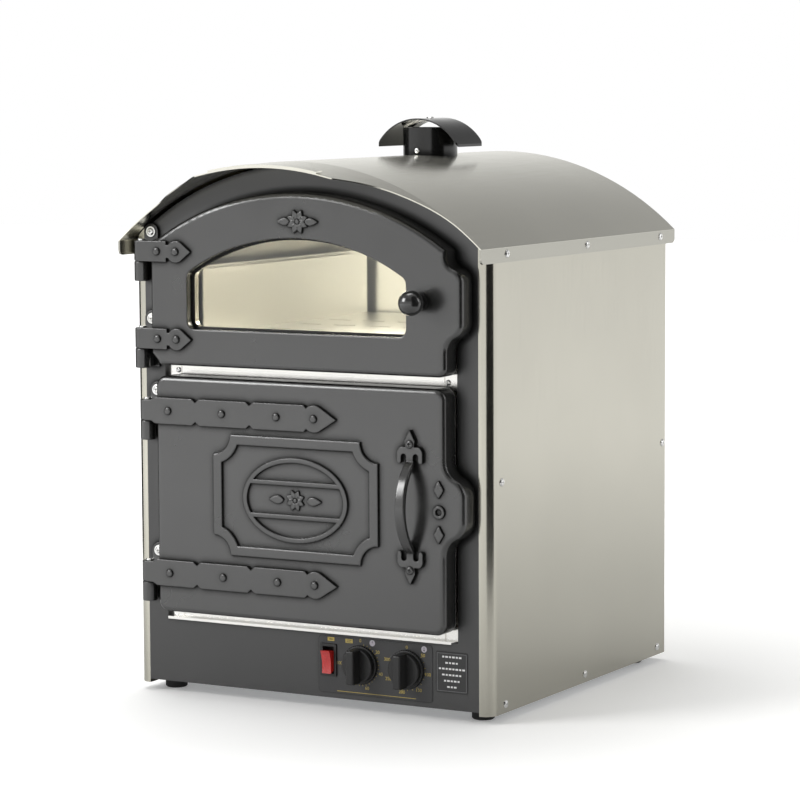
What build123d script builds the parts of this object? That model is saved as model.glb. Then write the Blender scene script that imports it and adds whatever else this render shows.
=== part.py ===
from build123d import *
import math
import os

os.makedirs("parts", exist_ok=True)

# Baked potato oven: an arched stainless casing with a fan oven below and a lit display cabinet above,
# each behind its own black door. Sizes are in mm. While a piece is built, x runs to the right, y runs
# back from the fascia's front face and z runs up from the floor. save() then moves every piece, so
# that the origin lies on the floor under the middle of the roof.

# Casing
casing_width = 450.0
casing_depth = 442.0
panel_bottom = 9.0
side_sheet = 1.2
back_sheet = 1.2
nose_radius = 14.0        # rounded front edge of a side panel
lip_depth = 15.0          # lip folded back beside the fascia
return_width = 12.0       # rear edge of a side panel, folded in

# Roof
roof_radius = 333.0       # outside of the curved sheet
roof_spring = 508.5       # where the curve meets the outsides of the side flanges
roof_sheet = 1.2
flange_height = 15.8
flange_fold = 2.4         # side flange, folded double
flange_gap = 0.3
flange_corner = 6.0
roof_front = -26.5
roof_overhang = 18.0      # behind the back panel
visor_front = -92.0
visor_half_front = 80.0   # straight part of the visor's front edge
visor_half_back = 205.0   # where the visor meets the straight front edge
visor_slope = 0.062       # drop for each mm forward
hem_half = 67.0
hem_depth = 13.0
hem_gap = 1.0
roof_gap = 0.8            # between the roof and what ends under it

# Base and feet
foot_height = 10.0
foot_radius = 12.5
foot_inset_x = 28.0
foot_inset_y = 34.0
foot_chamfer = 1.5
foot_stem = 4.0
pan_sheet = 1.5
pan_flange = 20.0
post_size = 20.0
post_sheet = 1.5
rail_height = 20.0
rail_gap = 3.0            # between the rails and the roof

# Back panel
back_edge_gap = 1.0
vent_rows = 6
vent_pitch = 16.0
vent_drop = 40.0          # lowest slots below the fan's shaft
vent_x = 95.0
vent_length = 70.0
vent_width = 5.0
gland_x = -120.0
gland_z = 48.0
gland_radius = 8.0
gland_bore = 4.0
gland_reach = 11.0
gland_flange = 3.0
gland_nut = 5.0
gland_shank = 8.0

# Fascia and the steel frame behind it
fascia_sheet = 1.5
fascia_bottom = 13.0
fascia_gap = 2.3          # between the roof sheet and the fascia's top edge
fascia_flange_drop = 12.0
opening_half = 184.5
opening_bottom = 86.0
door_lap = 16.0           # of the upper door over the opening's arc
frame_front = 6.0         # front face of the steel frame
frame_sheet = 1.2
frame_half = 200.0
frame_bottom = 78.0
frame_lap = 13.0          # of the frame behind the opening's arc
frame_crown = 20.0        # lowest point of the frame's upper part, above the cabinet's floor
seam_x = 166.5            # seam between rails and jambs
seam_gap = 0.6
sill_reach = 1.0
sill_lip = 3.0
sill_sheet = 1.0
sill_mitre = 7.5
sill_end_gap = 0.3

# Cavities
cavity_half = 160.0
liner_sheet = 1.2
oven_floor = 112.0
oven_height = 231.0
oven_back_gap = 70.0      # between the oven's back and the outside of the back panel
display_floor = 392.0
display_margin = 21.0     # between the opening's arc and the cabinet's arc
display_back_gap = 37.0
wool = 30.0
wool_gap = 0.5
wool_back = 10.0
wool_shoulder = 8.0
wool_roof_gap = 6.0
wool_flue_gap = 12.0
wool_motor_gap = 14.0
wool_tail_gap = 10.0

# Racks
wire_radius = 2.5
grid_radius = 1.6
weld_depth = 0.6
rack_count = 3
first_rack = 30.0         # above the oven floor
rack_pitch = 72.0
rack_front = 22.0
rack_back_gap = 10.0      # in front of the baffle
grid_pitch = 24.0
rack_corner = 12.0
rack_lift = 0.1
rack_side_gap = 0.9
ladder_inset = 30.0
ladder_top_gap = 10.0

# Fan
fan_height = 227.5
fan_radius = 60.0
fan_gap = 28.0            # from the front of the fan to the oven's back
fan_depth = 16.0
blade_count = 8
blade_half = 0.7
blade_inner = 26.0
disc_sheet = 1.2
hub_radius = 9.0
hub_inset = 4.0
shaft_radius = 4.0
shaft_end = 6.0           # inside the motor
shaft_clearance = 0.05
baffle_gap = 44.0         # from the front of the baffle to the oven's back
baffle_sheet = 1.2
baffle_half = 138.0
baffle_inset = 14.0
baffle_leg_inset = 12.0
baffle_leg_radius = 3.0
intake_radius = 46.0
intake_hub = 12.0
intake_ring = 29.0
intake_bar = 5.0
motor_radius = 34.0
motor_gap = 14.0          # from the oven's back to the motor
motor_length = 40.0
motor_round = 5.0
motor_leg_radius = 5.0
element_ring = 78.0
element_radius = 4.0
element_clearance = 0.1
tail_half = 12.0
tail_reach = 20.0

# Display fittings
tray_height = 12.0
tray_sheet = 1.0
tray_half = 150.0
tray_front = 14.0
tray_back_gap = 13.0
tray_slot_length = 30.0
tray_slot_width = 6.0
tray_slot_columns = 6
tray_slot_pitch_x = 46.0
tray_slot_pitch_y = 68.0
tray_slot_start = 50.0
guard_drop = 9.5          # from the cabinet's arc down to the guards
guard_front = 12.0
hairpin_half = 90.0
hairpin_front = 60.0
hairpin_bend = 30.0
hairpin_lift = 0.3
hairpin_tail = 12.0
lamp_x = 118.0
lamp_drop = 32.6          # from the cabinet's arc down to the lamp
lamp_radius = 13.0
lamp_flange = 6.0
lamp_flange_sheet = 2.0
lamp_collar = 1.0
lamp_hole_gap = 0.2
lamp_holder_front = 8.0
lamp_holder_back = 24.0
lamp_socket = 8.0
lamp_base_radius = 7.6
lamp_base_reach = 14.0
lamp_base_inset = 9.7
bulb_radius = 11.5
bulb_reach = 22.0

# Doors
door_back = -1.5
door_front = -27.0
door_wall = 4.0
door_edge = 5.5           # rounding of the front edge
door_spring = 507.0       # right end of the upper door's arc
door_roof_gap = 12.0      # between the arcs of the roof and the upper door
upper_left = -186.0
upper_right = 184.5
upper_bottom = 372.5
upper_tab = 204.0
upper_tab_low = 430.0
upper_tab_high = 474.0
upper_tab_rise = 32.0
upper_tab_shoulder = 6.0
upper_corner = 12.0
upper_small_corner = 10.0
lower_left = -180.5
lower_right = 183.0
lower_bottom = 97.0
lower_top = 360.5
lower_tab = 206.5
lower_tab_low = 219.0
lower_tab_high = 246.0
lower_tab_rise = 38.0
lower_corner = 12.0

# Window
window_half = 137.5
window_bottom = 413.5
window_radius = 250.0
window_border = 49.3      # between the tops of the door and the window
window_corner = 10.0
window_edge = 1.0         # rounding of the window's edge
reveal = 13.0
reveal_wall = 4.0
glass_stop = 2.5
glass_stop_depth = 2.0
glass_thickness = 4.0

# Raised ornament on the lower door: a frame with hollowed corners round an oval
relief_half = 104.0
relief_low = 166.5
relief_high = 300.0
relief_width = 11.0
relief_height = 3.0
relief_round = 1.2
relief_corner = 22.0
oval_z = 231.9
oval_half_width = 65.8
oval_half_height = 46.3
oval_width = 5.0
oval_height = 2.5
oval_bar = 4.7
oval_bar_offset = 18.4

# Door liners and seals
liner_gap = 0.3
seal_width = 8.0
seal_inset = 1.0
seal_gap = 0.3
magnet_height = 42.0
magnet_width = 8.0
magnet_gap = 1.5
magnet_short = 0.3

# Hinges
pin_radius = 3.0
pin_clearance = 0.05
knuckle_radius = 8.5
knuckle_round = 1.2
strap_thickness = 3.0
knuckle_gap = 0.3
lug_height = 22.0
web_width = 8.0
bracket_plate = 3.0
bracket_width = 18.0
bracket_screw_offset = 20.0   # from the knuckle's middle up to the screw
pin_seat = 4.0            # bottom of a pin's bore above the lug's
pin_head_radius = 4.5
pin_head_height = 1.6
pin_head_round = 0.8
upper_axis_x = -199.5
lower_axis_x = -194.0
upper_strap_drop = 8.7    # below the end of the door's arc
upper_strap_rise = 29.25  # above the door's bottom
lower_strap_drop = 38.4
lower_strap_rise = 44.1
upper_strap_height = 22.6
upper_strap_neck = 37.0   # from the axis to the notch
upper_strap_waist = 7.0
upper_strap_head = 49.5   # from the axis to the head's middle
upper_head_radius = 11.8
upper_strap_tip = 68.5
lower_strap_height = 29.0
lower_knuckle_height = 23.0
lower_strap_taper = 5.0
lower_strap_neck = 206.0
lower_strap_waist = 3.5
lower_strap_head = 219.0
lower_head_radius = 14.6
lower_strap_tip = 246.5
notch_half = 5.0
notch_depth = 4.0
notch_first = 67.5
rivet_radius = 4.2
rivet_height = 2.2
upper_rivet_near = 25.0
lower_rivet_near = 32.0
lower_rivet_pitch = 70.0

# Handle and knob
handle_x = 143.5
handle_z = 233.5
handle_half = 82.5
handle_mount = 4.0
handle_screw = 67.5
fleur_half = 6.0          # half width of the pointed end
fleur_lobe_out = 15.2
fleur_lobe_in = 10.6
fleur_stem = 4.0
grip_half = 50.0
grip_reach = 28.0
grip_width = 11.0
grip_thickness = 6.5
grip_round = 1.6
grip_overlap = 8.0        # of the stem behind the grip
knob_x = 157.0
knob_z = 452.5
knob_radius = 13.5
knob_stand = 24.0
knob_base_radius = 8.5
knob_base_height = 3.0
knob_neck_radius = 5.5
knob_stud = 7.0

# Controls
timer_x = 64.3
thermostat_x = 122.0
control_z = 52.5
control_half = 20.0
control_half_height = 18.0
timer_depth = 34.0
thermostat_depth = 26.0
bush_radius = 4.5
bush_reach = 0.3
skirt_radius = 21.0
skirt_height = 3.0
dial_radius = 19.0
dial_height = 9.0
grip_bar_width = 9.5
grip_bar_height = 24.0
knob_gap = 1.0
spindle_radius = 3.0
spindle_length = 14.0
overlay_left = 12.0
overlay_right = 153.5
overlay_bottom = 19.0
overlay_top = 81.0
overlay_corner = 4.0
overlay_sheet = 0.4
rating_left = 158.0
rating_right = 196.0
rating_bottom = 32.0
rating_top = 75.5
rating_corner = 1.5
switch_x = 24.6
switch_z = 54.9
switch_width = 20.0
switch_height = 36.0
switch_corner = 1.5
switch_rim = 1.8
switch_wall = 1.2
switch_bezel = 2.0
switch_depth = 22.0
switch_room = 12.0
terminal_x = 4.0
terminal_half = 3.0
terminal_reach = 7.0
terminal_sheet = 0.8
rocker_width = 11.0
rocker_half = 12.9
rocker_front = -8.0
rocker_hollow = 1.8
rocker_pivot_y = 3.5
rocker_axle_radius = 1.5
rocker_axle_bite = 0.7
rocker_tilt = 8.0

# Chimney
pipe_from_back = 162.0
pipe_radius = 31.4
pipe_wall = 1.4
pipe_rise = 31.2          # above the top of the roof
pipe_under_roof = 8.0
pipe_clearance = 0.3
pipe_screw_rise = 5.0
spigot_clearance = 0.3
spigot_rise = 14.0
saddle_reach = 10.0
saddle_height = 1.5
cowl_rise = 42.0
cowl_radius = 60.6
cowl_half = 52.0
cowl_depth = 64.0
cowl_sheet = 1.5
cowl_corner = 4.0
strap_width = 16.0
bracket_sheet = 2.0
bracket_leg = 14.0

# Screws
screw_radius = 2.0
screw_hole = 2.1
side_head_radius = 4.5
head_height = 1.8
washer_radius = 6.0
washer_thickness = 1.0
bracket_head_radius = 4.2
bracket_shank = 7.0
cowl_head_radius = 4.5
pipe_head_radius = 3.2
rail_head_radius = 3.0
side_screw_front = 32.0
side_screw_inset = 22.0   # rearmost side screws from the back
edge_screw_inset = 24.0
edge_screw_rear = 9.0
roof_screw_rise = 9.0     # above the flange's lower edge
pan_screw_rise = 8.5
mid_screw_z = 259.0
rail_screw_x = 120.0
rail_screw_z = 96.0
jamb_screw_x = 170.7
jamb_screw_z = 364.5

# Derived places that several pieces share
side_x = casing_width / 2
side_inner = side_x - side_sheet
nose_x = side_x - nose_radius
lip_x = nose_x - side_sheet
back_y = casing_depth - back_sheet
frame_back = frame_front + frame_sheet
oven_top = oven_floor + oven_height
flange_in = side_x + flange_gap
flange_out = flange_in + flange_fold
roof_centre = roof_spring - math.sqrt(roof_radius ** 2 - flange_out ** 2)
roof_under = roof_radius - roof_sheet
roof_top = roof_centre + roof_radius
roof_rear = casing_depth + roof_overhang
flange_bottom = roof_spring - flange_height
fascia_radius = roof_under - fascia_gap
upper_radius = roof_radius - door_roof_gap
door_arc_centre = door_spring - math.sqrt(upper_radius ** 2 - upper_right ** 2)
opening_radius = upper_radius - door_lap
frame_radius = opening_radius + frame_lap
display_radius = opening_radius - display_margin
window_centre = door_arc_centre + upper_radius - window_border - window_radius
oven_back = casing_depth - oven_back_gap
display_back = casing_depth - display_back_gap
baffle_front = oven_back - baffle_gap
rack_back = baffle_front - rack_back_gap
fan_front = oven_back - fan_gap
motor_front = oven_back + motor_gap
tail_z = fan_height - math.sqrt(element_ring ** 2 - tail_half ** 2)
tray_back = display_back - tray_back_gap
guard_top = door_arc_centre + math.sqrt(display_radius ** 2 - tray_half ** 2) - guard_drop
guard_height = guard_top - display_floor - tray_height
lamp_height = door_arc_centre + math.sqrt(display_radius ** 2 - lamp_x ** 2) - lamp_drop
hairpin_z = display_floor + element_radius + hairpin_lift
pan_top = foot_height + pan_sheet
pan_front = lip_depth + pan_sheet
pan_back = back_y - side_sheet
rail_top = roof_centre + math.sqrt(roof_under ** 2 - side_x ** 2) - rail_gap
rail_bottom = rail_top - rail_height
hinge_y = door_front - strap_thickness + knuckle_radius
wool_out = cavity_half + liner_sheet + wool_gap
pipe_y = casing_depth - pipe_from_back
pipe_top = roof_top + pipe_rise
pipe_screw_z = roof_top + pipe_screw_rise
cowl_top = roof_top + cowl_rise
spigot_radius = pipe_radius - pipe_wall - spigot_clearance
spigot_bottom = door_arc_centre + display_radius + liner_sheet
upper_strap_levels = (door_spring - upper_strap_drop, upper_bottom + upper_strap_rise)
lower_strap_levels = (lower_top - lower_strap_drop, lower_bottom + lower_strap_rise)
side_screw_rear = casing_depth - side_screw_inset
side_screw_ys = (side_screw_front, (side_screw_front + side_screw_rear) / 2, side_screw_rear)
roof_screw_z = flange_bottom + roof_screw_rise
pan_screw_z = foot_height + pan_screw_rise
mid_screw_ys = (edge_screw_inset, casing_depth - edge_screw_rear)
back_screw_x = side_x - return_width / 2 - side_sheet
back_screw_levels = (46.0, 190.0, 350.0, 480.0)
origin_y = (visor_front + roof_rear) / 2


def block(x_low, x_high, y_low, y_high, z_low, z_high):
    size = (x_high - x_low, y_high - y_low, z_high - z_low)
    return Pos(x_low, y_low, z_low) * Box(*size, align=(Align.MIN, Align.MIN, Align.MIN))


def slab(sketch, y_front, y_back):
    # a sketch in the front view, given a thickness
    return extrude(Plane.XZ.offset(-y_back) * sketch, y_back - y_front)


def column(sketch, z_low, z_high):
    # a sketch in the plan view, given a height
    return extrude(Plane.XY.offset(z_low) * sketch, z_high - z_low)


def rod(start, end, radius):
    start = Vector(*start)
    along = Vector(*end) - start
    return Solid.make_cylinder(radius, along.length, Plane(start, z_dir=along))


def arc_top(x, radius, centre):
    return centre + math.sqrt(radius ** 2 - x ** 2)


def arch(half, bottom, radius, centre):
    spring = arc_top(half, radius, centre)
    edges = [Line((-half, bottom), (half, bottom))]
    edges += [Line((half, bottom), (half, spring))]
    edges += [ThreePointArc((half, spring), (0, centre + radius), (-half, spring))]
    edges += [Line((-half, spring), (-half, bottom))]
    return make_face(edges)


def rectangle(x_low, x_high, z_low, z_high):
    middle = Pos((x_low + x_high) / 2, (z_low + z_high) / 2)
    return middle * Rectangle(x_high - x_low, z_high - z_low)


def under_roof(gap):
    # everything that lies at least gap under the roof sheet
    sketch = arch(side_x + 1, 0, roof_under - gap, roof_centre)
    return slab(sketch, roof_front - 10, roof_rear + 10)


def both_sides(shape):
    return [shape, mirror(shape, Plane.YZ)]


def save(name, *shapes):
    moved = [Pos(0, -origin_y, 0) * shape for shape in shapes]
    solids = [solid for shape in moved for solid in shape.solids()]
    export_step(Compound(solids), "parts/" + name + ".step")


# Casing pieces

def side_screw_places():
    # the y and z of each screw on one side, with how far its head's seat lies outside the side panel
    places = [(y, roof_screw_z, flange_gap + flange_fold) for y in side_screw_ys]
    places += [(y, pan_screw_z, 0) for y in side_screw_ys]
    places += [(y, mid_screw_z, 0) for y in mid_screw_ys]
    return places


def side_holes():
    return [rod((side_x - 40, y, z), (side_x + 10, y, z), screw_hole) for y, z, _ in side_screw_places()]


def side_panel():
    inner = side_inner
    fold_x = side_x - return_width
    edges = [Line((fold_x, back_y), (side_x, back_y))]
    edges += [Line((side_x, back_y), (side_x, nose_radius))]
    edges += [RadiusArc((side_x, nose_radius), (nose_x, 0), nose_radius)]
    edges += [Line((nose_x, 0), (lip_x, 0))]
    edges += [Line((lip_x, 0), (lip_x, lip_depth))]
    edges += [Line((lip_x, lip_depth), (nose_x, lip_depth))]
    edges += [Line((nose_x, lip_depth), (nose_x, side_sheet))]
    edges += [RadiusArc((nose_x, side_sheet), (inner, nose_radius), side_sheet - nose_radius)]
    edges += [Line((inner, nose_radius), (inner, pan_back))]
    edges += [Line((inner, pan_back), (fold_x, pan_back))]
    edges += [Line((fold_x, pan_back), (fold_x, back_y))]
    panel = column(make_face(edges), panel_bottom, roof_top)
    panel &= under_roof(roof_gap)
    for hole in side_holes():
        panel -= hole
    for z in back_screw_levels:
        panel -= rod((back_screw_x, back_y - 5, z), (back_screw_x, casing_depth, z), screw_hole)
    return panel


def base_pan():
    low = foot_height
    high = foot_height + pan_flange
    outer = block(-side_inner, side_inner, pan_front, pan_back, low, high)
    room = block(-side_inner + pan_sheet, side_inner - pan_sheet, pan_front + pan_sheet,
                 pan_back - pan_sheet, pan_top, high + 1)
    pan = outer - room
    for hole in side_holes():
        pan -= hole
        pan -= mirror(hole, Plane.YZ)
    for x, y in foot_places():
        pan -= rod((x, y, low - 1), (x, y, pan_top + 1), screw_hole)
    return pan


def foot_places():
    x = side_x - foot_inset_x
    ys = (foot_inset_y, casing_depth - foot_inset_y)
    return [(side * x, y) for side in (-1, 1) for y in ys]


def feet():
    made = []
    for x, y in foot_places():
        foot = Solid.make_cylinder(foot_radius, foot_height, Plane((x, y, 0)))
        foot = chamfer(foot.edges().group_by(Axis.Z)[0], foot_chamfer)
        stem = rod((x, y, foot_height), (x, y, pan_top + foot_stem), screw_radius)
        made.append(foot + stem)
    return made


def chassis_frame():
    outer = side_inner - pan_sheet
    made = []
    posts = ((pan_front + pan_sheet, 1), (pan_back - pan_sheet, -1))
    for y, way in posts:
        y_low = min(y, y + way * post_size)
        post = block(outer - post_size, outer, y_low, y_low + post_size, pan_top, rail_bottom)
        hollow_low = y_low + (post_sheet if way > 0 else -1)
        hollow_high = hollow_low + post_size - post_sheet + 1
        hollow = block(outer - post_size - 1, outer - post_sheet, hollow_low, hollow_high,
                       0, rail_bottom + 1)
        post -= hollow
        for hole in side_holes():
            post -= hole
        made += both_sides(post)
    rail = block(side_inner - post_size, side_inner, pan_front, pan_back, rail_bottom, rail_top)
    room = block(side_inner - post_size - 1, side_inner - post_sheet, pan_front - 1, pan_back + 1,
                 rail_bottom + post_sheet, rail_top + 1)
    rail -= room
    for hole in side_holes():
        rail -= hole
    return made + both_sides(rail)


def back_panel():
    half = side_x - back_edge_gap
    low = panel_bottom + 2 * back_edge_gap
    panel = slab(arch(half, low, roof_under - roof_gap, roof_centre), back_y, casing_depth)
    for row in range(vent_rows):
        for side in (-1, 1):
            z = fan_height - vent_drop + vent_pitch * row
            slot = Pos(side * vent_x, z) * SlotOverall(vent_length, vent_width)
            panel -= slab(slot, back_y - 1, casing_depth + 1)
    for x, z in back_screw_places():
        panel -= rod((x, back_y - 1, z), (x, casing_depth + 1, z), screw_hole)
    panel -= rod((gland_x, back_y - 1, gland_z), (gland_x, casing_depth + 1, gland_z), gland_radius + 0.2)
    return panel


def back_screw_places():
    return [(side * back_screw_x, z) for side in (-1, 1) for z in back_screw_levels]


def cable_gland():
    def ring(y_low, y_high, radius):
        return rod((gland_x, y_low, gland_z), (gland_x, y_high, gland_z), radius)
    flange = ring(casing_depth, casing_depth + gland_flange, gland_radius + 4)
    dome = ring(casing_depth, casing_depth + gland_reach, gland_radius)
    shank = ring(back_y - gland_shank, casing_depth, gland_radius)
    nut = ring(back_y - gland_nut, back_y, gland_radius + 3)
    bore = ring(back_y - gland_shank - 1, casing_depth + gland_reach + 1, gland_bore)
    return flange + dome + shank + nut - bore


def pan_head(seat, way, head, shank):
    # a domed screw head on its seat; way points out of the seat
    seat = Vector(*seat)
    way = Vector(*way)
    body = rod(seat, seat + way * head_height, head)
    rim = body.edges().sort_by(lambda edge: (edge.center() - seat).dot(way))[-1]
    body = fillet(rim, head_height * 0.6)
    return body + rod(seat - way * shank, seat, screw_radius)


def casing_screws():
    made = []
    for y, z, seat in side_screw_places():
        screw = pan_head((side_x + seat, y, z), (1, 0, 0), side_head_radius, seat + 5)
        made += both_sides(screw)
    back_grip = back_sheet + side_sheet + 0.8
    for x, z in back_screw_places():
        made.append(pan_head((x, casing_depth, z), (0, 1, 0), side_head_radius, back_grip))
    for x, z in frame_screw_places():
        made.append(pan_head((x, frame_front, z), (0, -1, 0), rail_head_radius, frame_sheet + 0.4))
    return made


def frame_screw_places():
    # on the bottom rail and on the jambs between the doors
    places = ((rail_screw_x, rail_screw_z), (jamb_screw_x, jamb_screw_z))
    return [(side * x, z) for side in (-1, 1) for x, z in places]


def frame_holes():
    front = frame_front - 1
    back = frame_back + 1
    return [rod((x, front, z), (x, back, z), screw_hole) for x, z in frame_screw_places()]


# Fascia, frame and sill

def fascia():
    plate = slab(arch(lip_x, fascia_bottom, fascia_radius, roof_centre), 0, fascia_sheet)
    opening = arch(opening_half, opening_bottom, opening_radius, door_arc_centre)
    outer = arch(opening_half + fascia_sheet, opening_bottom - fascia_sheet, opening_radius + fascia_sheet,
                 door_arc_centre)
    body = plate + slab(outer, 0, frame_front) - slab(opening, -1, frame_front + 1)
    flange_top = arc_top(lip_x, fascia_radius, roof_centre) - fascia_flange_drop
    flange = block(lip_x - fascia_sheet, lip_x, 0, lip_depth, fascia_bottom, flange_top)
    for side in both_sides(flange):
        body += side
    body += block(-lip_x, lip_x, 0, pan_front, fascia_bottom, fascia_bottom + fascia_sheet)
    for x in (timer_x, thermostat_x):
        body -= rod((x, -1, control_z), (x, 4, control_z), bush_radius + 0.1)
    body -= slab(switch_cutout(0.2), -1, 4)
    for x, z in bracket_screw_places():
        body -= rod((x, -1, z), (x, 4, z), screw_hole)
    return body


def front_rails():
    half = seam_x - seam_gap / 2
    face = rectangle(-half, half, frame_bottom, oven_floor)
    face += rectangle(-half, half, oven_top, display_floor)
    face += arch(half, display_floor + frame_crown, frame_radius, door_arc_centre)
    face -= arch(cavity_half, display_floor, display_radius, door_arc_centre)
    jamb_low = arc_top(cavity_half, display_radius, door_arc_centre)
    for side in (-1, 1):
        x_low, x_high = sorted((side * (cavity_half - 1), side * (half + 1)))
        face -= rectangle(x_low, x_high, display_floor, jamb_low)
    rails = slab(face, frame_front, frame_back)
    for hole in frame_holes():
        rails -= hole
    return rails


def front_jambs():
    inner = seam_x + seam_gap / 2
    frame = arch(frame_half, frame_bottom, frame_radius, door_arc_centre)
    jamb = frame & rectangle(inner, frame_half + 1, frame_bottom - 1, roof_centre + roof_radius)
    # beside each cavity's mouth the jamb reaches in to the liner
    mouth_low = rectangle(cavity_half, inner + 1, oven_floor + seam_gap, oven_top - seam_gap)
    shoulder = arc_top(cavity_half, display_radius, door_arc_centre) - seam_gap
    mouth_high = rectangle(cavity_half, inner + 1, display_floor + seam_gap, shoulder)
    jamb += mouth_low
    jamb += mouth_high
    body = slab(jamb, frame_front, frame_back)
    for hole in frame_holes():
        body -= hole
    return both_sides(body)


def door_sill():
    # a shallow ledge with a lip; its right end is mitred
    top = opening_bottom + sill_sheet
    half = opening_half - sill_end_gap
    points = [(-half, -sill_reach), (half - sill_mitre, -sill_reach)]
    points += [(half, frame_front), (-half, frame_front)]
    plan = make_face(Polyline(*points, close=True))
    shelf = column(plan, opening_bottom, top)
    lip = block(-half, half - sill_mitre, -sill_reach, 0, top - sill_lip, top)
    return shelf + lip


# Roof

def visor_outline():
    # plan view of the roof, with the visor's curved shoulders
    shoulder = visor_half_back - visor_half_front
    forward = roof_front - visor_front
    right = [(visor_half_back, roof_front)]
    right += [(visor_half_back - 0.40 * shoulder, roof_front - 0.21 * forward)]
    right += [(visor_half_back - 0.70 * shoulder, roof_front - 0.52 * forward)]
    right += [(visor_half_front + 0.06 * shoulder, visor_front + 0.05 * forward)]
    right += [(visor_half_front, visor_front)]
    left = [(-x, y) for x, y in reversed(right)]
    far = roof_front + 40
    edges = [Spline(right, tangents=((-1, 0), (-1, 0)))]
    edges += [Line(right[-1], left[0])]
    edges += [Spline(left, tangents=((-1, 0), (-1, 0)))]
    edges += [Line(left[-1], (-visor_half_back, far))]
    edges += [Line((-visor_half_back, far), (visor_half_back, far))]
    edges += [Line((visor_half_back, far), right[0])]
    return make_face(edges)


def roof_ring(radius_out, radius_in, half):
    outside = arch(half, roof_centre, radius_out, roof_centre)
    return outside - arch(half + 1, roof_centre - 1, radius_in, roof_centre)


def roof():
    profile = arch(flange_out, flange_bottom, roof_radius, roof_centre)
    profile -= arch(flange_in, flange_bottom - 1, roof_under, roof_centre)
    body = slab(profile, roof_front, roof_rear)
    corners = [edge for edge in body.edges().filter_by(Axis.X) if edge.center().Z < flange_bottom + 0.1]
    body = fillet(corners, flange_corner)
    length = roof_front - visor_front + 10
    lean = Vector(0, -1, -visor_slope).normalized()
    ring = Plane.XZ.offset(-roof_front) * roof_ring(roof_radius, roof_under, visor_half_back)
    visor = extrude(ring, length / abs(lean.Y), dir=lean)
    visor &= column(visor_outline(), roof_centre, roof_top + 5)
    body += visor
    body += visor_hem(lean)
    body -= rod((0, pipe_y, roof_centre), (0, pipe_y, roof_top + 5), pipe_radius + pipe_clearance)
    for hole in side_holes():
        body -= hole
        body -= mirror(hole, Plane.YZ)
    return body


def visor_hem(lean):
    # the front edge folded back over the sheet, with a gap left between
    top = roof_radius + hem_gap + roof_sheet
    ring = roof_ring(top, roof_under, hem_half)
    gap = roof_ring(roof_radius + hem_gap, roof_radius, hem_half + 1)
    start = Plane.XZ.offset(-roof_front) * ring
    slot = Plane.XZ.offset(-roof_front) * gap
    run = (roof_front - visor_front) / abs(lean.Y)
    outer = extrude(start, run, dir=lean)
    inner = extrude(slot, run - roof_sheet, dir=lean)
    front_strip = block(-hem_half, hem_half, visor_front, visor_front + hem_depth, 0, 2 * roof_radius)
    return (outer - inner) & front_strip


# Chimney

def chimney_pipe():
    low = roof_centre + roof_under - pipe_under_roof
    pipe = rod((0, pipe_y, low), (0, pipe_y, pipe_top), pipe_radius)
    pipe -= rod((0, pipe_y, low - 1), (0, pipe_y, pipe_top + 1), pipe_radius - pipe_wall)
    pipe -= rod((0, pipe_y, pipe_screw_z), (0, pipe_y - 60, pipe_screw_z), screw_hole)
    return pipe


def flue_spigot():
    top = roof_top + spigot_rise
    foot = arc_top(spigot_radius + saddle_reach, display_radius + liner_sheet, door_arc_centre) - 2
    tube = rod((0, pipe_y, foot), (0, pipe_y, top), spigot_radius)
    saddle = rod((0, pipe_y, foot), (0, pipe_y, spigot_bottom + saddle_height), spigot_radius + saddle_reach)
    body = tube + saddle
    body -= slab(arch(cavity_half, 0, display_radius + liner_sheet, door_arc_centre), 0, casing_depth)
    body -= rod((0, pipe_y, 0), (0, pipe_y, top + 1), spigot_radius - pipe_wall)
    body -= rod((0, pipe_y, pipe_screw_z), (0, pipe_y - 60, pipe_screw_z), screw_hole)
    return body


def cowl_arc(radius_out, radius_in, half, depth):
    centre = cowl_top - cowl_radius
    ring = arch(half, centre, radius_out, centre) - arch(half + 1, centre - 1, radius_in, centre)
    return slab(ring, pipe_y - depth / 2, pipe_y + depth / 2)


def cowl():
    body = cowl_arc(cowl_radius, cowl_radius - cowl_sheet, cowl_half, cowl_depth)
    plan = Pos(0, pipe_y) * RectangleRounded(2 * cowl_half, cowl_depth, cowl_corner)
    body &= column(plan, roof_centre, cowl_top + 1)
    body -= rod((0, pipe_y, cowl_top - 10), (0, pipe_y, cowl_top + 5), screw_hole)
    return body


def cowl_bracket():
    # a strap bent to the cowl's underside, with its two legs inside the pipe
    under = cowl_radius - cowl_sheet
    leg_out = pipe_radius - pipe_wall - 0.1
    bridge = cowl_arc(under, under - bracket_sheet, leg_out, strap_width)
    leg_low = pipe_top - bracket_leg
    leg_high = arc_top(leg_out, under, cowl_top - cowl_radius)
    strap_half = strap_width / 2
    leg = block(leg_out - bracket_sheet, leg_out, pipe_y - strap_half, pipe_y + strap_half,
                leg_low, leg_high)
    body = bridge
    for side in both_sides(leg):
        body += side
    bore = rod((0, pipe_y, 0), (0, pipe_y, pipe_top + 0.3), pipe_radius - pipe_wall - 0.05)
    body &= bore + block(-leg_out, leg_out, 0, casing_depth, pipe_top + 0.3, cowl_top + 5)
    body -= rod((0, pipe_y, cowl_top - 10), (0, pipe_y, cowl_top + 5), screw_hole)
    return body


def cowl_screws():
    top = pan_head((0, pipe_y, cowl_top), (0, 0, 1), cowl_head_radius, cowl_sheet + bracket_sheet + 2)
    side_seat = (0, pipe_y - pipe_radius, pipe_screw_z)
    side = pan_head(side_seat, (0, -1, 0), pipe_head_radius, 2 * pipe_wall + 2)
    return [top, side]


# Doors

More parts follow.
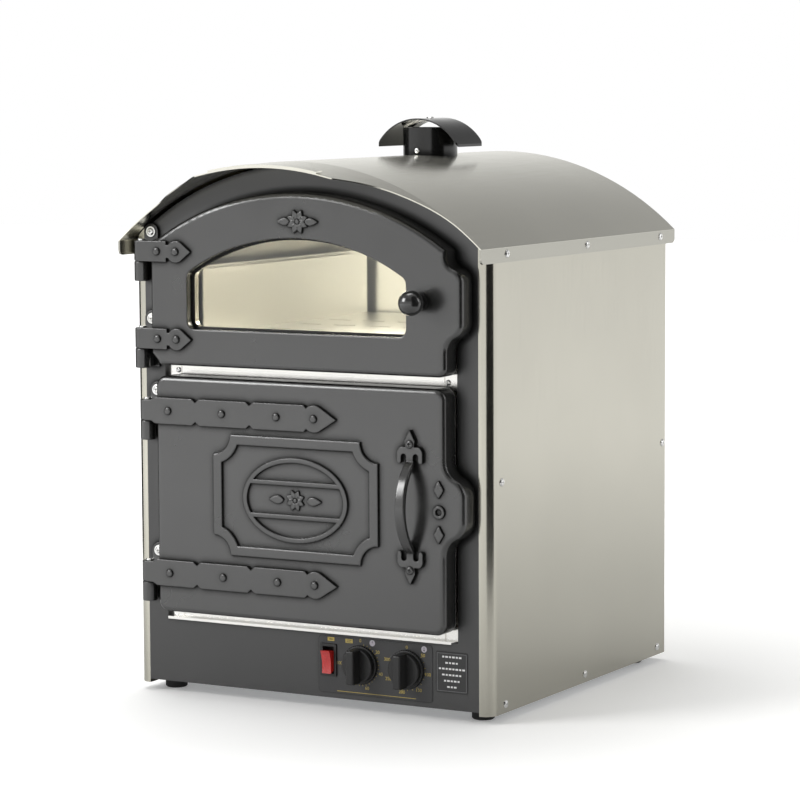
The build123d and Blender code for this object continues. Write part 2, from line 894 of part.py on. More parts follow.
def s_curve(start, end):
    # two equal arcs between two upright edges
    middle = ((start[0] + end[0]) / 2, (start[1] + end[1]) / 2)
    way = 1 if end[1] > start[1] else -1
    first = TangentArc(start, middle, tangent=(0, way))
    second = TangentArc(middle, end, tangent=first % 1)
    return [first, second]


def upper_door_outline():
    spring_left = arc_top(upper_left, upper_radius, door_arc_centre)
    spring_right = arc_top(upper_right, upper_radius, door_arc_centre)
    tab_foot = upper_tab_low - upper_tab_rise
    tab_head = spring_right - upper_tab_shoulder
    edges = [Line((upper_left + upper_corner, upper_bottom), (upper_right, upper_bottom))]
    edges += [Line((upper_right, upper_bottom), (upper_right, tab_foot))]
    edges += s_curve((upper_right, tab_foot), (upper_tab, upper_tab_low))
    edges += [Line((upper_tab, upper_tab_low), (upper_tab, upper_tab_high))]
    edges += s_curve((upper_tab, upper_tab_high), (upper_right, tab_head))
    edges += [Line((upper_right, tab_head), (upper_right, spring_right))]
    top = (0, door_arc_centre + upper_radius)
    edges += [ThreePointArc((upper_right, spring_right), top, (upper_left, spring_left))]
    edges += [Line((upper_left, spring_left), (upper_left, upper_bottom + upper_corner))]
    edges += [Line((upper_left, upper_bottom + upper_corner), (upper_left + upper_corner, upper_bottom))]
    corners = [(upper_right, upper_bottom), (upper_left, spring_left)]
    return round_corners(make_face(edges), [(x, z, upper_small_corner) for x, z in corners])


def lower_door_outline():
    tab_foot = lower_tab_low - lower_tab_rise
    tab_head = lower_tab_high + lower_tab_rise
    edges = [Line((lower_left, lower_bottom), (lower_right, lower_bottom))]
    edges += [Line((lower_right, lower_bottom), (lower_right, tab_foot))]
    edges += s_curve((lower_right, tab_foot), (lower_tab, lower_tab_low))
    edges += [Line((lower_tab, lower_tab_low), (lower_tab, lower_tab_high))]
    edges += s_curve((lower_tab, lower_tab_high), (lower_right, tab_head))
    edges += [Line((lower_right, tab_head), (lower_right, lower_top))]
    edges += [Line((lower_right, lower_top), (lower_left, lower_top))]
    edges += [Line((lower_left, lower_top), (lower_left, lower_bottom))]
    corners = [(x, z, lower_corner) for x in (lower_left, lower_right) for z in (lower_bottom, lower_top)]
    return round_corners(make_face(edges), corners)


def round_corners(face, corners):
    for x, z, radius in corners:
        vertex = face.vertices().sort_by(lambda v: (v.X - x) ** 2 + (v.Y - z) ** 2)[0]
        face = fillet(vertex, radius)
    return face


def window_outline(grow):
    half = window_half + grow
    face = arch(half, window_bottom - grow, window_radius + grow, window_centre)
    spring = arc_top(half, window_radius + grow, window_centre)
    corners = [(side * half, z) for side in (-1, 1) for z in (window_bottom - grow, spring)]
    return round_corners(face, [(x, z, window_corner + grow) for x, z in corners])


def door_shell(outline):
    body = slab(outline, door_front, door_back)
    front = body.faces().sort_by(Axis.Y)[0]
    body = fillet(front.outer_wire().edges(), door_edge)
    inside = offset(outline, -door_wall, kind=Kind.INTERSECTION)
    body -= slab(inside, door_front + door_wall, door_back + 1)
    return body


def upper_door():
    body = door_shell(upper_door_outline())
    body += slab(window_outline(reveal_wall), door_front + door_wall, door_front + reveal)
    stop = door_front + reveal - glass_stop_depth
    body -= slab(window_outline(0), door_front - 1, stop)
    body -= slab(window_outline(-glass_stop), stop - 1, door_front + reveal + 1)
    front = body.faces().filter_by(Axis.Y).sort_by(Axis.Y)[0]
    body = fillet(front.inner_wires()[0].edges(), window_edge)
    body -= rod((knob_x, door_front - 1, knob_z), (knob_x, door_front + 8, knob_z), screw_hole)
    return body


def door_window():
    y = door_front + reveal
    return slab(window_outline(reveal_wall), y, y + glass_thickness)


def window_retainer():
    y = door_front + reveal + glass_thickness
    ring = window_outline(reveal_wall) - window_outline(0)
    return slab(ring, y, door_back - liner_sheet)


def door_liner(outline):
    face = offset(outline, -door_wall - liner_gap, kind=Kind.INTERSECTION)
    return slab(face, door_back - liner_sheet, door_back)


def upper_door_liner():
    return door_liner(upper_door_outline()) - slab(window_outline(0), door_back - 5, door_back + 1)


def seal_ring(outer, inner):
    return slab(outer - inner, door_back, frame_front - seal_gap)


def display_mouth(grow):
    return arch(cavity_half + grow, display_floor - grow, display_radius + grow, door_arc_centre)


def oven_mouth(grow):
    return rectangle(-cavity_half - grow, cavity_half + grow, oven_floor - grow, oven_top + grow)


def upper_door_seal():
    return seal_ring(display_mouth(seal_inset + seal_width), display_mouth(seal_inset))


def lower_door_seal():
    return seal_ring(oven_mouth(seal_inset + seal_width), oven_mouth(seal_inset))


def relief_outline(inset):
    # a rectangle whose corners are hollowed by arcs about the frame's outer corners
    half = relief_half - inset
    low = relief_low + inset
    high = relief_high - inset
    face = rectangle(-half, half, low, high)
    for x in (-relief_half, relief_half):
        for z in (relief_low, relief_high):
            face -= Pos(x, z) * Circle(relief_corner + inset)
    return face


def relief_frame():
    ring = relief_outline(0) - relief_outline(relief_width)
    body = slab(ring, door_front - relief_height, door_front + 1)
    front = body.faces().sort_by(Axis.Y)[0]
    return fillet(front.edges(), relief_round)


def relief_oval():
    inside = Ellipse(oval_half_width - oval_width, oval_half_height - oval_width)
    ring = Ellipse(oval_half_width, oval_half_height) - inside
    for offset_z in (-oval_bar_offset, oval_bar_offset):
        bar = Pos(0, offset_z) * Rectangle(2 * oval_half_width, oval_bar)
        ring += bar & Ellipse(oval_half_width - 1, oval_half_height - 1)
    return slab(Pos(0, oval_z) * ring, door_front - oval_height, door_front + 1)


def lower_door():
    body = door_shell(lower_door_outline())
    body += relief_frame()
    body += relief_oval()
    for side in (-1, 1):
        z = handle_z + side * handle_screw
        body -= rod((handle_x, door_front - 1, z), (handle_x, door_front + 8, z), screw_hole)
    return body


def lower_door_insulation():
    face = offset(lower_door_outline(), -door_wall - 1, kind=Kind.INTERSECTION)
    gap = 0.4
    return slab(face, door_front + door_wall + gap, door_back - liner_sheet - gap)


def door_magnets():
    # fixed to the jambs, just short of the closed doors' liners
    x_low = cavity_half + seal_inset + seal_width + magnet_gap
    made = []
    for z in (knob_z, handle_z):
        body = block(x_low, x_low + magnet_width, door_back + magnet_short, frame_front,
                     z - magnet_height / 2, z + magnet_height / 2)
        made.append(body)
    return made


def upper_door_knob():
    ball_y = door_front - knob_stand
    foot_y = door_front - knob_base_height
    base = rod((knob_x, door_front, knob_z), (knob_x, foot_y, knob_z), knob_base_radius)
    neck = rod((knob_x, foot_y, knob_z), (knob_x, ball_y, knob_z), knob_neck_radius)
    ball = Pos(knob_x, ball_y, knob_z) * Sphere(knob_radius)
    stud = rod((knob_x, door_front, knob_z), (knob_x, door_front + knob_stud, knob_z), screw_radius)
    return base + neck + ball + stud


# Hinges: straps and rivets turn with a door; brackets, pins and screws stay on the fascia

def strap_head(x, z, radius, tip):
    # a round head drawn out to a point
    reach = tip - x
    angle = math.acos(radius / reach)
    touch = [(x + radius * math.cos(angle), z + way * radius * math.sin(angle)) for way in (1, -1)]
    point = make_face(Polyline((x, z), touch[1], (tip, z), touch[0], close=True))
    return Pos(x, z) * Circle(radius) + point


def knuckle(axis_x, low, high):
    body = rod((axis_x, hinge_y, low), (axis_x, hinge_y, high), knuckle_radius)
    return fillet(body.edges().filter_by(GeomType.CIRCLE), knuckle_round)


def strap_plate(face):
    return slab(face, door_front - strap_thickness, door_front)


def upper_strap(z):
    axis_x = upper_axis_x
    half = upper_strap_height / 2
    neck_x = axis_x + upper_strap_neck
    head_x = axis_x + upper_strap_head
    face = rectangle(axis_x, neck_x, z - half, z + half)
    face += rectangle(neck_x - 1, head_x, z - upper_strap_waist, z + upper_strap_waist)
    face += strap_head(head_x, z, upper_head_radius, axis_x + upper_strap_tip)
    body = knuckle(axis_x, z - half, z + half) + strap_plate(face)
    return body - hinge_bore(axis_x, z)


def lower_strap(z):
    axis_x = lower_axis_x
    start = axis_x + knuckle_radius + 1
    full = start + lower_strap_taper
    half = lower_strap_height / 2
    low_half = lower_knuckle_height / 2
    neck_x = axis_x + lower_strap_neck
    waist_x = neck_x + lower_strap_waist
    waist = half - lower_strap_waist
    points = [(axis_x, z - low_half), (start, z - low_half), (full, z - half), (neck_x, z - half)]
    points += [(waist_x, z - waist), (waist_x, z + waist), (neck_x, z + half)]
    points += [(full, z + half), (start, z + low_half), (axis_x, z + low_half)]
    face = make_face(Polyline(*points, close=True))
    for step in (0, 1):
        x = axis_x + notch_first + step * lower_rivet_pitch
        for side in (-1, 1):
            edge = z + side * (half + 0.1)
            tip = z + side * (half - notch_depth)
            face -= make_face(Polyline((x - notch_half, edge), (x, tip), (x + notch_half, edge), close=True))
    face += strap_head(axis_x + lower_strap_head, z, lower_head_radius, axis_x + lower_strap_tip)
    body = knuckle(axis_x, z - low_half, z + low_half) + strap_plate(face)
    return body - hinge_bore(axis_x, z)


def upper_rivet_reaches():
    return (upper_rivet_near, upper_strap_head)


def lower_rivet_reaches():
    along = [lower_rivet_near + step * lower_rivet_pitch for step in range(3)]
    return along + [lower_strap_head]


def hinge_bore(axis_x, z):
    return rod((axis_x, hinge_y, z - 30), (axis_x, hinge_y, z + 30), pin_radius + pin_clearance)


def rivets(axis_x, levels, reaches):
    made = []
    for z in levels:
        for reach in reaches:
            seat = door_front - strap_thickness
            place = (axis_x + reach, seat, z)
            head = rod(place, (axis_x + reach, seat - rivet_height, z), rivet_radius)
            rim = head.edges().sort_by(Axis.Y)[0]
            made.append(fillet(rim, rivet_height * 0.85))
    return made


def hinges():
    # axis, strap level and knuckle height of each of the four hinges
    made = [(upper_axis_x, z, upper_strap_height) for z in upper_strap_levels]
    return made + [(lower_axis_x, z, lower_knuckle_height) for z in lower_strap_levels]


def bracket_screw_places():
    return [(axis_x, z + bracket_screw_offset) for axis_x, z, _ in hinges()]


def hinge_brackets():
    made = []
    for axis_x, z, height in hinges():
        lug_top = z - height / 2 - knuckle_gap
        lug_low = lug_top - lug_height
        screw_z = z + bracket_screw_offset
        plate = rectangle(axis_x - bracket_width / 2, axis_x + bracket_width / 2, lug_low, screw_z)
        plate += Pos(axis_x, screw_z) * Circle(bracket_width / 2)
        body = slab(plate, -bracket_plate, 0)
        body += knuckle(axis_x, lug_low, lug_top)
        web_half = web_width / 2
        body += block(axis_x - web_half, axis_x + web_half, hinge_y, 1 - bracket_plate,
                      lug_low + knuckle_round, lug_top - knuckle_round)
        pin_low = (axis_x, hinge_y, lug_low + pin_seat)
        body -= rod(pin_low, (axis_x, hinge_y, lug_top + 1), pin_radius + pin_clearance)
        body -= rod((axis_x, -bracket_plate - 1, screw_z), (axis_x, 1, screw_z), screw_hole)
        made.append(body)
    return made


def hinge_pins():
    made = []
    for axis_x, z, height in hinges():
        low = z - height / 2 - knuckle_gap - lug_height + pin_seat
        top = z + height / 2 + knuckle_gap
        pin = rod((axis_x, hinge_y, low), (axis_x, hinge_y, top), pin_radius)
        head = rod((axis_x, hinge_y, top), (axis_x, hinge_y, top + pin_head_height), pin_head_radius)
        head = fillet(head.edges().sort_by(Axis.Z)[-1], pin_head_round)
        made.append(pin + head)
    return made


def bracket_screws():
    made = []
    for x, z in bracket_screw_places():
        seat = -bracket_plate - washer_thickness
        washer = rod((x, -bracket_plate, z), (x, seat, z), washer_radius)
        made.append(washer + pan_head((x, seat, z), (0, -1, 0), bracket_head_radius, bracket_shank))
    return made


# Handle

def fleur():
    # one end plate of the handle, pointing up from the handle's middle
    def at(x, z):
        return (handle_x + x, handle_z + z)
    lobe_middle = (fleur_lobe_out + fleur_lobe_in) / 2
    gap_middle = (fleur_lobe_in + fleur_stem) / 2
    stem_low = grip_half - grip_overlap
    edges = [Line(at(0, handle_half), at(fleur_half, 71)), Line(at(fleur_half, 71), at(5, 64.5))]
    edges += [Line(at(5, 64.5), at(11, 64.5))]
    edges += [ThreePointArc(at(11, 64.5), at(14.4, 61), at(fleur_lobe_out, 56))]
    edges += [Line(at(fleur_lobe_out, 56), at(fleur_lobe_out, 49.5))]
    edges += [ThreePointArc(at(fleur_lobe_out, 49.5), at(lobe_middle, 47.2), at(fleur_lobe_in, 49.5))]
    edges += [Line(at(fleur_lobe_in, 49.5), at(fleur_lobe_in, 54))]
    edges += [ThreePointArc(at(fleur_lobe_in, 54), at(gap_middle, 57.3), at(fleur_stem, 54))]
    edges += [Line(at(fleur_stem, 54), at(fleur_stem, stem_low))]
    edges += [Line(at(fleur_stem, stem_low), at(0, stem_low))]
    half = make_face(edges + [Line(at(0, stem_low), at(0, handle_half))])
    return half + mirror(half, Plane.YZ.offset(handle_x))


def lower_door_handle():
    plate = fleur()
    plate += mirror(plate, Plane.XZ.offset(-handle_z))
    body = slab(plate, door_front - handle_mount, door_front)
    body = body + grip()
    for side in (-1, 1):
        z = handle_z + side * handle_screw
        body -= rod((handle_x, door_front - 20, z), (handle_x, door_front + 1, z), screw_hole)
    return body


def grip():
    # a flat bar bowed out from the door, with upright ends let into the end plates
    base = door_front - handle_mount + 1
    peak = door_front - grip_reach
    outer = ThreePointArc((base, handle_z - grip_half), (peak, handle_z), (base, handle_z + grip_half))
    inner_half = grip_half - grip_thickness
    inner_peak = peak + grip_thickness
    inner_ends = [(base, handle_z + way * inner_half) for way in (1, -1)]
    inner = ThreePointArc(inner_ends[0], (inner_peak, handle_z), inner_ends[1])
    edges = [outer, Line((base, handle_z + grip_half), (base, handle_z + inner_half))]
    edges += [inner, Line((base, handle_z - inner_half), (base, handle_z - grip_half))]
    profile = Plane.YZ.offset(handle_x - grip_width / 2) * make_face(edges)
    bar = extrude(profile, grip_width)
    long_edges = [edge for edge in bar.edges() if edge.geom_type == GeomType.CIRCLE]
    return fillet(long_edges, grip_round)


def handle_screws():
    made = []
    for side in (-1, 1):
        seat = (handle_x, door_front - handle_mount, handle_z + side * handle_screw)
        made.append(pan_head(seat, (0, -1, 0), side_head_radius, handle_mount + door_wall))
    return made


# Oven cavity

def oven_liner():
    outer = block(-cavity_half - liner_sheet, cavity_half + liner_sheet, frame_back, oven_back + liner_sheet,
                  oven_floor - liner_sheet, oven_top + liner_sheet)
    body = outer - block(-cavity_half, cavity_half, frame_back - 1, oven_back, oven_floor, oven_top)
    body -= rod((0, oven_back - 5, fan_height), (0, oven_back + 5, fan_height), shaft_radius + 1)
    for x in element_tails():
        tail_hole = element_radius + element_clearance
        body -= rod((x, oven_back - 5, tail_z), (x, oven_back + 5, tail_z), tail_hole)
    return body


def element_tails():
    return (-tail_half, tail_half)


def casing_insulation():
    outer = wool_out + wool
    front = frame_back + wool_gap
    low = oven_floor - liner_sheet - wool_gap
    high = display_floor - liner_sheet - wool_gap
    back_low = oven_back + liner_sheet + wool_gap
    back_high = back_low + wool_back
    made = both_sides(block(wool_out, outer, front, oven_back, low, oven_top))
    made.append(block(-outer, outer, front, oven_back, frame_bottom + 6, low - wool_gap))
    back = block(-wool_out, wool_out, back_low, back_high, low, oven_top)
    back -= rod((0, oven_back, fan_height), (0, back_high + 1, fan_height), motor_radius + wool_motor_gap)
    notch = tail_half + wool_tail_gap
    back -= block(-notch, notch, oven_back, back_high + 1, tail_z - wool_tail_gap, fan_height)
    made.append(back)
    made.append(block(-outer, outer, front, display_back, oven_top + liner_sheet + wool_gap, high))
    shoulder = arc_top(cavity_half, display_radius, door_arc_centre) - wool_shoulder
    made += both_sides(block(wool_out, outer, front, display_back, display_floor, shoulder))
    top = arch(cavity_half - wool_shoulder, display_floor, roof_under - wool_roof_gap, roof_centre)
    top -= arch(cavity_half, display_floor - 1, display_radius + 2 * liner_sheet, door_arc_centre)
    cap = slab(top, front, display_back)
    cap -= rod((0, pipe_y, 0), (0, pipe_y, cowl_top), pipe_radius + wool_flue_gap)
    made.append(cap)
    return made


def rack_levels():
    return [oven_floor + first_rack + rack_pitch * step for step in range(rack_count)]


def rack_supports():
    # a wire ladder on each side wall, with one runner for each rack
    wall_x = cavity_half - wire_radius
    runner_x = wall_x - 2 * wire_radius + weld_depth
    top = oven_top - ladder_top_gap
    body = None
    for y in (rack_front + ladder_inset, rack_back - ladder_inset):
        upright = rod((wall_x, y, oven_floor), (wall_x, y, top), wire_radius)
        body = upright if body is None else body + upright
    for z in rack_levels():
        body += rod((runner_x, rack_front, z), (runner_x, rack_back, z), wire_radius)
    return both_sides(body)


def rack(level):
    # a rod frame that rests on its two runners, with the grid's wires welded on top
    half = cavity_half - 3 * wire_radius - rack_side_gap
    z = level + 2 * wire_radius + rack_lift
    middle = (rack_front + rack_back) / 2
    frame = Pos(0, middle, z) * RectangleRounded(2 * half, rack_back - rack_front, rack_corner)
    path = frame.face().outer_wire()
    section = Plane(origin=path @ 0, z_dir=path % 0) * Circle(wire_radius)
    body = sweep(section, path)
    body += rod((-half, middle, z), (half, middle, z), wire_radius)
    wire_z = z + wire_radius + grid_radius - weld_depth
    count = int((half - rack_corner) // grid_pitch)
    for step in range(-count, count + 1):
        x = step * grid_pitch
        body += rod((x, rack_front - wire_radius, wire_z), (x, rack_back + wire_radius, wire_z), grid_radius)
    return body


# Fan

def fan_baffle():
    low = oven_floor + baffle_inset
    high = oven_top - baffle_inset
    face = rectangle(-baffle_half, baffle_half, low, high)
    intake = Circle(intake_radius) - Circle(intake_hub)
    intake -= Circle(intake_ring + 2) - Circle(intake_ring - 2)
    for angle in range(0, 180, 30):
        intake -= Rot(0, 0, angle) * Rectangle(2 * intake_radius + 8, intake_bar)
    body = slab(face - Pos(0, fan_height) * intake, baffle_front, baffle_front + baffle_sheet)
    for x in (-baffle_half + baffle_leg_inset, baffle_half - baffle_leg_inset):
        for z in (low + baffle_leg_inset, high - baffle_leg_inset):
            body += rod((x, baffle_front + baffle_sheet, z), (x, oven_back, z), baffle_leg_radius)
    return body


def fan_rotor():
    back = fan_front + fan_depth
    body = rod((0, back, fan_height), (0, back - disc_sheet, fan_height), fan_radius)
    body += rod((0, fan_front, fan_height), (0, motor_front + shaft_end, fan_height), shaft_radius)
    body += rod((0, fan_front + hub_inset, fan_height), (0, back, fan_height), hub_radius)
    for step in range(blade_count):
        blade = block(blade_inner, fan_radius - 1, fan_front, back - disc_sheet, -blade_half, blade_half)
        body += Pos(0, 0, fan_height) * Rot(0, 360 * step / blade_count, 0) * blade
    return body


def fan_motor():
    back = motor_front + motor_length
    body = rod((0, motor_front, fan_height), (0, back, fan_height), motor_radius)
    body = fillet(body.edges().sort_by(Axis.Y)[-1], motor_round)
    leg_ring = motor_radius + motor_leg_radius - 1
    for angle in (45, 135, 225, 315):
        x = leg_ring * math.cos(math.radians(angle))
        z = fan_height + leg_ring * math.sin(math.radians(angle))
        body += rod((x, oven_back + liner_sheet, z), (x, motor_front + 6, z), motor_leg_radius)
    bore_end = motor_front + shaft_end + 2
    body -= rod((0, motor_front - 1, fan_height), (0, bore_end, fan_height), shaft_radius + shaft_clearance)
    return body


def ring_element():
    # an open ring round the fan, with two tails through the back of the oven
    y = fan_front + fan_depth / 2
    gap = math.degrees(math.asin(tail_half / element_ring))
    ring = Plane.XZ.offset(-y) * CenterArc((0, fan_height), element_ring, -90 + gap, 360 - 2 * gap)
    start = ring @ 0
    section = Plane(origin=start, z_dir=ring % 0) * Circle(element_radius)
    body = sweep(section, ring)
    for point in (ring @ 0, ring @ 1):
        tail_end = (point.X, oven_back + tail_reach, point.Z)
        body += Pos(*point) * Sphere(element_radius)
        body += rod(point, tail_end, element_radius - element_clearance)
    return body


# Display cabinet

def display_liner():
    outer = display_mouth(liner_sheet)
    body = slab(outer, frame_back, display_back + liner_sheet)
    body -= slab(display_mouth(0), frame_back - 1, display_back)
    body -= rod((0, pipe_y, display_floor + 50), (0, pipe_y, roof_top), spigot_radius - pipe_wall)
    lamp_hole = lamp_radius + lamp_collar + lamp_hole_gap
    body -= rod((lamp_x, display_back - 5, lamp_height), (lamp_x, display_back + 5, lamp_height), lamp_hole)
    for x in (-hairpin_half, hairpin_half):
        tail_hole = element_radius + element_clearance
        body -= rod((x, display_back - 5, hairpin_z), (x, display_back + 5, hairpin_z), tail_hole)
    return body


def display_tray():
    top = display_floor + tray_height
    body = block(-tray_half, tray_half, tray_front, tray_back, display_floor, top)
    room_half = tray_half - tray_sheet
    body -= block(-room_half, room_half, tray_front - 1, tray_back + 1, display_floor - 1, top - tray_sheet)
    guard_low = tray_front + guard_front
    guard = block(room_half, tray_half, guard_low, tray_back, top - tray_sheet, top + guard_height)
    for side in both_sides(guard):
        body += side
    rows = int((tray_back - tray_front - tray_slot_start) // tray_slot_pitch_y)
    for step in range(tray_slot_columns):
        for row in range(rows):
            x = (step - (tray_slot_columns - 1) / 2) * tray_slot_pitch_x
            y = tray_front + tray_slot_start + row * tray_slot_pitch_y
            slot = Pos(x, y) * SlotOverall(tray_slot_length, tray_slot_width)
            body -= column(slot, top - 2 * tray_sheet, top + 1)
    return body


def display_element():
    # a hairpin heater just above the cabinet floor, under the tray
    back = display_back + hairpin_tail
    points = [(-hairpin_half, back), (-hairpin_half, hairpin_front), (hairpin_half, hairpin_front)]
    points.append((hairpin_half, back))
    path = FilletPolyline(*[(x, y, hairpin_z) for x, y in points], radius=hairpin_bend)
    section = Plane(origin=path @ 0, z_dir=path % 0) * Circle(element_radius)
    return sweep(section, path)


def lamp_part(y_low, y_high, radius):
    return rod((lamp_x, y_low, lamp_height), (lamp_x, y_high, lamp_height), radius)


def lamp_holder():
    seat = display_back + liner_sheet
    front = display_back - lamp_holder_front
    body = lamp_part(seat, seat + lamp_flange_sheet, lamp_radius + lamp_flange)
    body += lamp_part(front, seat + lamp_holder_back, lamp_radius + lamp_collar)
    return body - lamp_part(front - 1, display_back + lamp_base_inset + 0.3, lamp_socket)


def display_lamp():
    base = lamp_part(display_back - lamp_base_reach, display_back + lamp_base_inset, lamp_base_radius)
    bulb = Pos(lamp_x, display_back - bulb_reach, lamp_height) * Sphere(bulb_radius)
    return base + bulb


# Controls

def switch_cutout(grow):
    width = switch_width - 2 * switch_rim + 2 * grow
    height = switch_height - 2 * switch_rim + 2 * grow
    return Pos(switch_x, switch_z) * Rectangle(width, height)


def rocker_axle(grow):
    # a bar across the switch, held in both side walls of the housing
    half = switch_width / 2 - switch_rim - switch_wall + rocker_axle_bite + grow
    ends = [(switch_x + side * half, rocker_pivot_y, switch_z) for side in (-1, 1)]
    return rod(*ends, rocker_axle_radius + grow)


def switch_housing():
    outer = Pos(switch_x, switch_z) * RectangleRounded(switch_width, switch_height, switch_corner)
    body = slab(outer, -switch_bezel, 0)
    body += slab(switch_cutout(0), 0, switch_depth)
    body -= slab(switch_cutout(-switch_wall), -switch_bezel - 1, switch_room)
    body -= rocker_axle(shaft_clearance)
    for side in (-1, 1):
        x = switch_x + side * terminal_x
        body += block(x - terminal_sheet / 2, x + terminal_sheet / 2,
                      switch_depth, switch_depth + terminal_reach,
                      switch_z - terminal_half, switch_z + terminal_half)
    return body


def switch_rocker():
    # a hollowed key that rocks in the housing; at rest its upper end stands out
    back = rocker_pivot_y + 3
    back_half = rocker_half - 4
    hollow_front = rocker_front + rocker_hollow
    face = ThreePointArc((rocker_front, rocker_half), (hollow_front, 0), (rocker_front, -rocker_half))
    edges = [face, Line((rocker_front, -rocker_half), (back, -back_half))]
    edges += [Line((back, -back_half), (back + 2, 0)), Line((back + 2, 0), (back, back_half))]
    edges += [Line((back, back_half), (rocker_front, rocker_half))]
    profile = Plane.YZ.offset(-rocker_width / 2) * make_face(edges)
    body = extrude(profile, rocker_width)
    pivot = Pos(switch_x, rocker_pivot_y, switch_z)
    return pivot * Rot(rocker_tilt, 0, 0) * Pos(0, -rocker_pivot_y, 0) * body + rocker_axle(0)


def control_bodies():
    made = []
    for x, depth in ((timer_x, timer_depth), (thermostat_x, thermostat_depth)):
        body = block(x - control_half, x + control_half, fascia_sheet, fascia_sheet + depth,
                     control_z - control_half_height, control_z + control_half_height)
        body += rod((x, -bush_reach, control_z), (x, fascia_sheet, control_z), bush_radius)
        bore_end = (x, spindle_length + 1, control_z)
        body -= rod((x, -5, control_z), bore_end, spindle_radius + shaft_clearance)
        made.append(body)
    return made


def control_knob(x):
    gap = knob_gap
    skirt = rod((x, -gap, control_z), (x, -gap - skirt_height, control_z), skirt_radius)
    skirt = fillet(skirt.edges().sort_by(Axis.Y)[0], 1)
    dial = rod((x, -gap - skirt_height, control_z), (x, -gap - dial_height, control_z), dial_radius)
    dial = fillet(dial.edges().sort_by(Axis.Y)[0], 2)
    bar = block(x - grip_bar_width / 2, x + grip_bar_width / 2,
                -gap - grip_bar_height, -gap - dial_height + 1,
                control_z - dial_radius, control_z + dial_radius)
    round_off = rod((x, 0, control_z), (x, -40, control_z), dial_radius - 0.2)
    bar &= round_off
    front = bar.faces().sort_by(Axis.Y)[0]
    bar = fillet(front.edges(), 2)
    spindle = rod((x, -gap - 1, control_z), (x, spindle_length, control_z), spindle_radius)
    return skirt + dial + bar + spindle


def control_overlay():
    plate = Pos((overlay_left + overlay_right) / 2, (overlay_bottom + overlay_top) / 2)
    plate *= RectangleRounded(overlay_right - overlay_left, overlay_top - overlay_bottom, overlay_corner)
    body = slab(plate, -overlay_sheet, 0)
    for x in (timer_x, thermostat_x):
        body -= rod((x, -2, control_z), (x, 2, control_z), bush_radius + 0.3)
    around = RectangleRounded(switch_width + 0.4, switch_height + 0.4, switch_corner + 0.2)
    body -= slab(Pos(switch_x, switch_z) * around, -2, 1)
    return body


def rating_plate():
    plate = Pos((rating_left + rating_right) / 2, (rating_bottom + rating_top) / 2)
    plate *= RectangleRounded(rating_right - rating_left, rating_top - rating_bottom, rating_corner)
    return slab(plate, -overlay_sheet, 0)


panel = side_panel()
save("right_side_panel", panel)
save("left_side_panel", mirror(panel, Plane.YZ))
save("back_panel", back_panel())
save("base_pan", base_pan())
save("chassis_frame", *chassis_frame())
save("feet", *feet())
save("casing_screws", *casing_screws())
save("cable_gland", cable_gland())
save("fascia", fascia())
save("front_rails", front_rails())
save("front_jambs", *front_jambs())
save("door_sill", door_sill())
save("roof", roof())
save("chimney_pipe", chimney_pipe())
save("flue_spigot", flue_spigot())
save("cowl", cowl())
save("cowl_bracket", cowl_bracket())
save("cowl_screws", *cowl_screws())
save("upper_door", upper_door())
save("door_window", door_window())
save("window_retainer", window_retainer())
save("upper_door_liner", upper_door_liner())
save("upper_door_seal", upper_door_seal())
save("upper_door_knob", upper_door_knob())
save("upper_hinge_straps", *[upper_strap(z) for z in upper_strap_levels])
save("upper_strap_rivets", *rivets(upper_axis_x, upper_strap_levels, upper_rivet_reaches()))
save("lower_door", lower_door())
save("lower_door_liner", door_liner(lower_door_outline()))
save("lower_door_insulation", lower_door_insulation())
save("lower_door_seal", lower_door_seal())
save("lower_door_handle", lower_door_handle())
save("handle_screws", *handle_screws())
save("lower_hinge_straps", *[lower_strap(z) for z in lower_strap_levels])
save("lower_strap_rivets", *rivets(lower_axis_x, lower_strap_levels, lower_rivet_reaches()))
save("hinge_brackets", *hinge_brackets())
save("hinge_pins", *hinge_pins())
save("bracket_screws", *bracket_screws())
save("door_magnets", *door_magnets())
save("oven_liner", oven_liner())
save("casing_insulation", *casing_insulation())
save("rack_supports", *rack_supports())
shelf = rack(0)
for name, level in zip(("lower_rack", "middle_rack", "upper_rack"), rack_levels()):
    save(name, Pos(0, 0, level) * shelf)
save("fan_baffle", fan_baffle())
save("fan_rotor", fan_rotor())
save("fan_motor", fan_motor())
save("ring_element", ring_element())
save("display_liner", display_liner())
save("display_tray", display_tray())
save("display_element", display_element())
save("lamp_holder", lamp_holder())
save("display_lamp", display_lamp())
save("switch_housing", switch_housing())
save("switch_rocker", switch_rocker())
save("control_bodies", *control_bodies())
save("timer_knob", control_knob(timer_x))
save("thermostat_knob", control_knob(thermostat_x))
save("control_overlay", control_overlay())
save("rating_plate", rating_plate())
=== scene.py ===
import math
import bpy
import bmesh
from mathutils import Matrix, Vector


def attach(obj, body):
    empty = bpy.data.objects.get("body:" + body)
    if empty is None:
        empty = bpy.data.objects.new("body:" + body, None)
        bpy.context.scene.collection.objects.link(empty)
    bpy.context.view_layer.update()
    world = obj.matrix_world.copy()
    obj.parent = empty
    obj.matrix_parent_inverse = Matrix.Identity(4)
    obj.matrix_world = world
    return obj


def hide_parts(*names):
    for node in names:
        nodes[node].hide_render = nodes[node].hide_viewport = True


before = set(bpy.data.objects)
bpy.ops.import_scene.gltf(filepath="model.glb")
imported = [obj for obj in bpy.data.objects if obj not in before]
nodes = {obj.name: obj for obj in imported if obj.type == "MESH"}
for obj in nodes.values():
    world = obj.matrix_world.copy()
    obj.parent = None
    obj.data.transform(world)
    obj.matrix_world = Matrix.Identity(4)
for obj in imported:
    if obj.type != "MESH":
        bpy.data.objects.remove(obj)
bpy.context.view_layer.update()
mm = 0.001


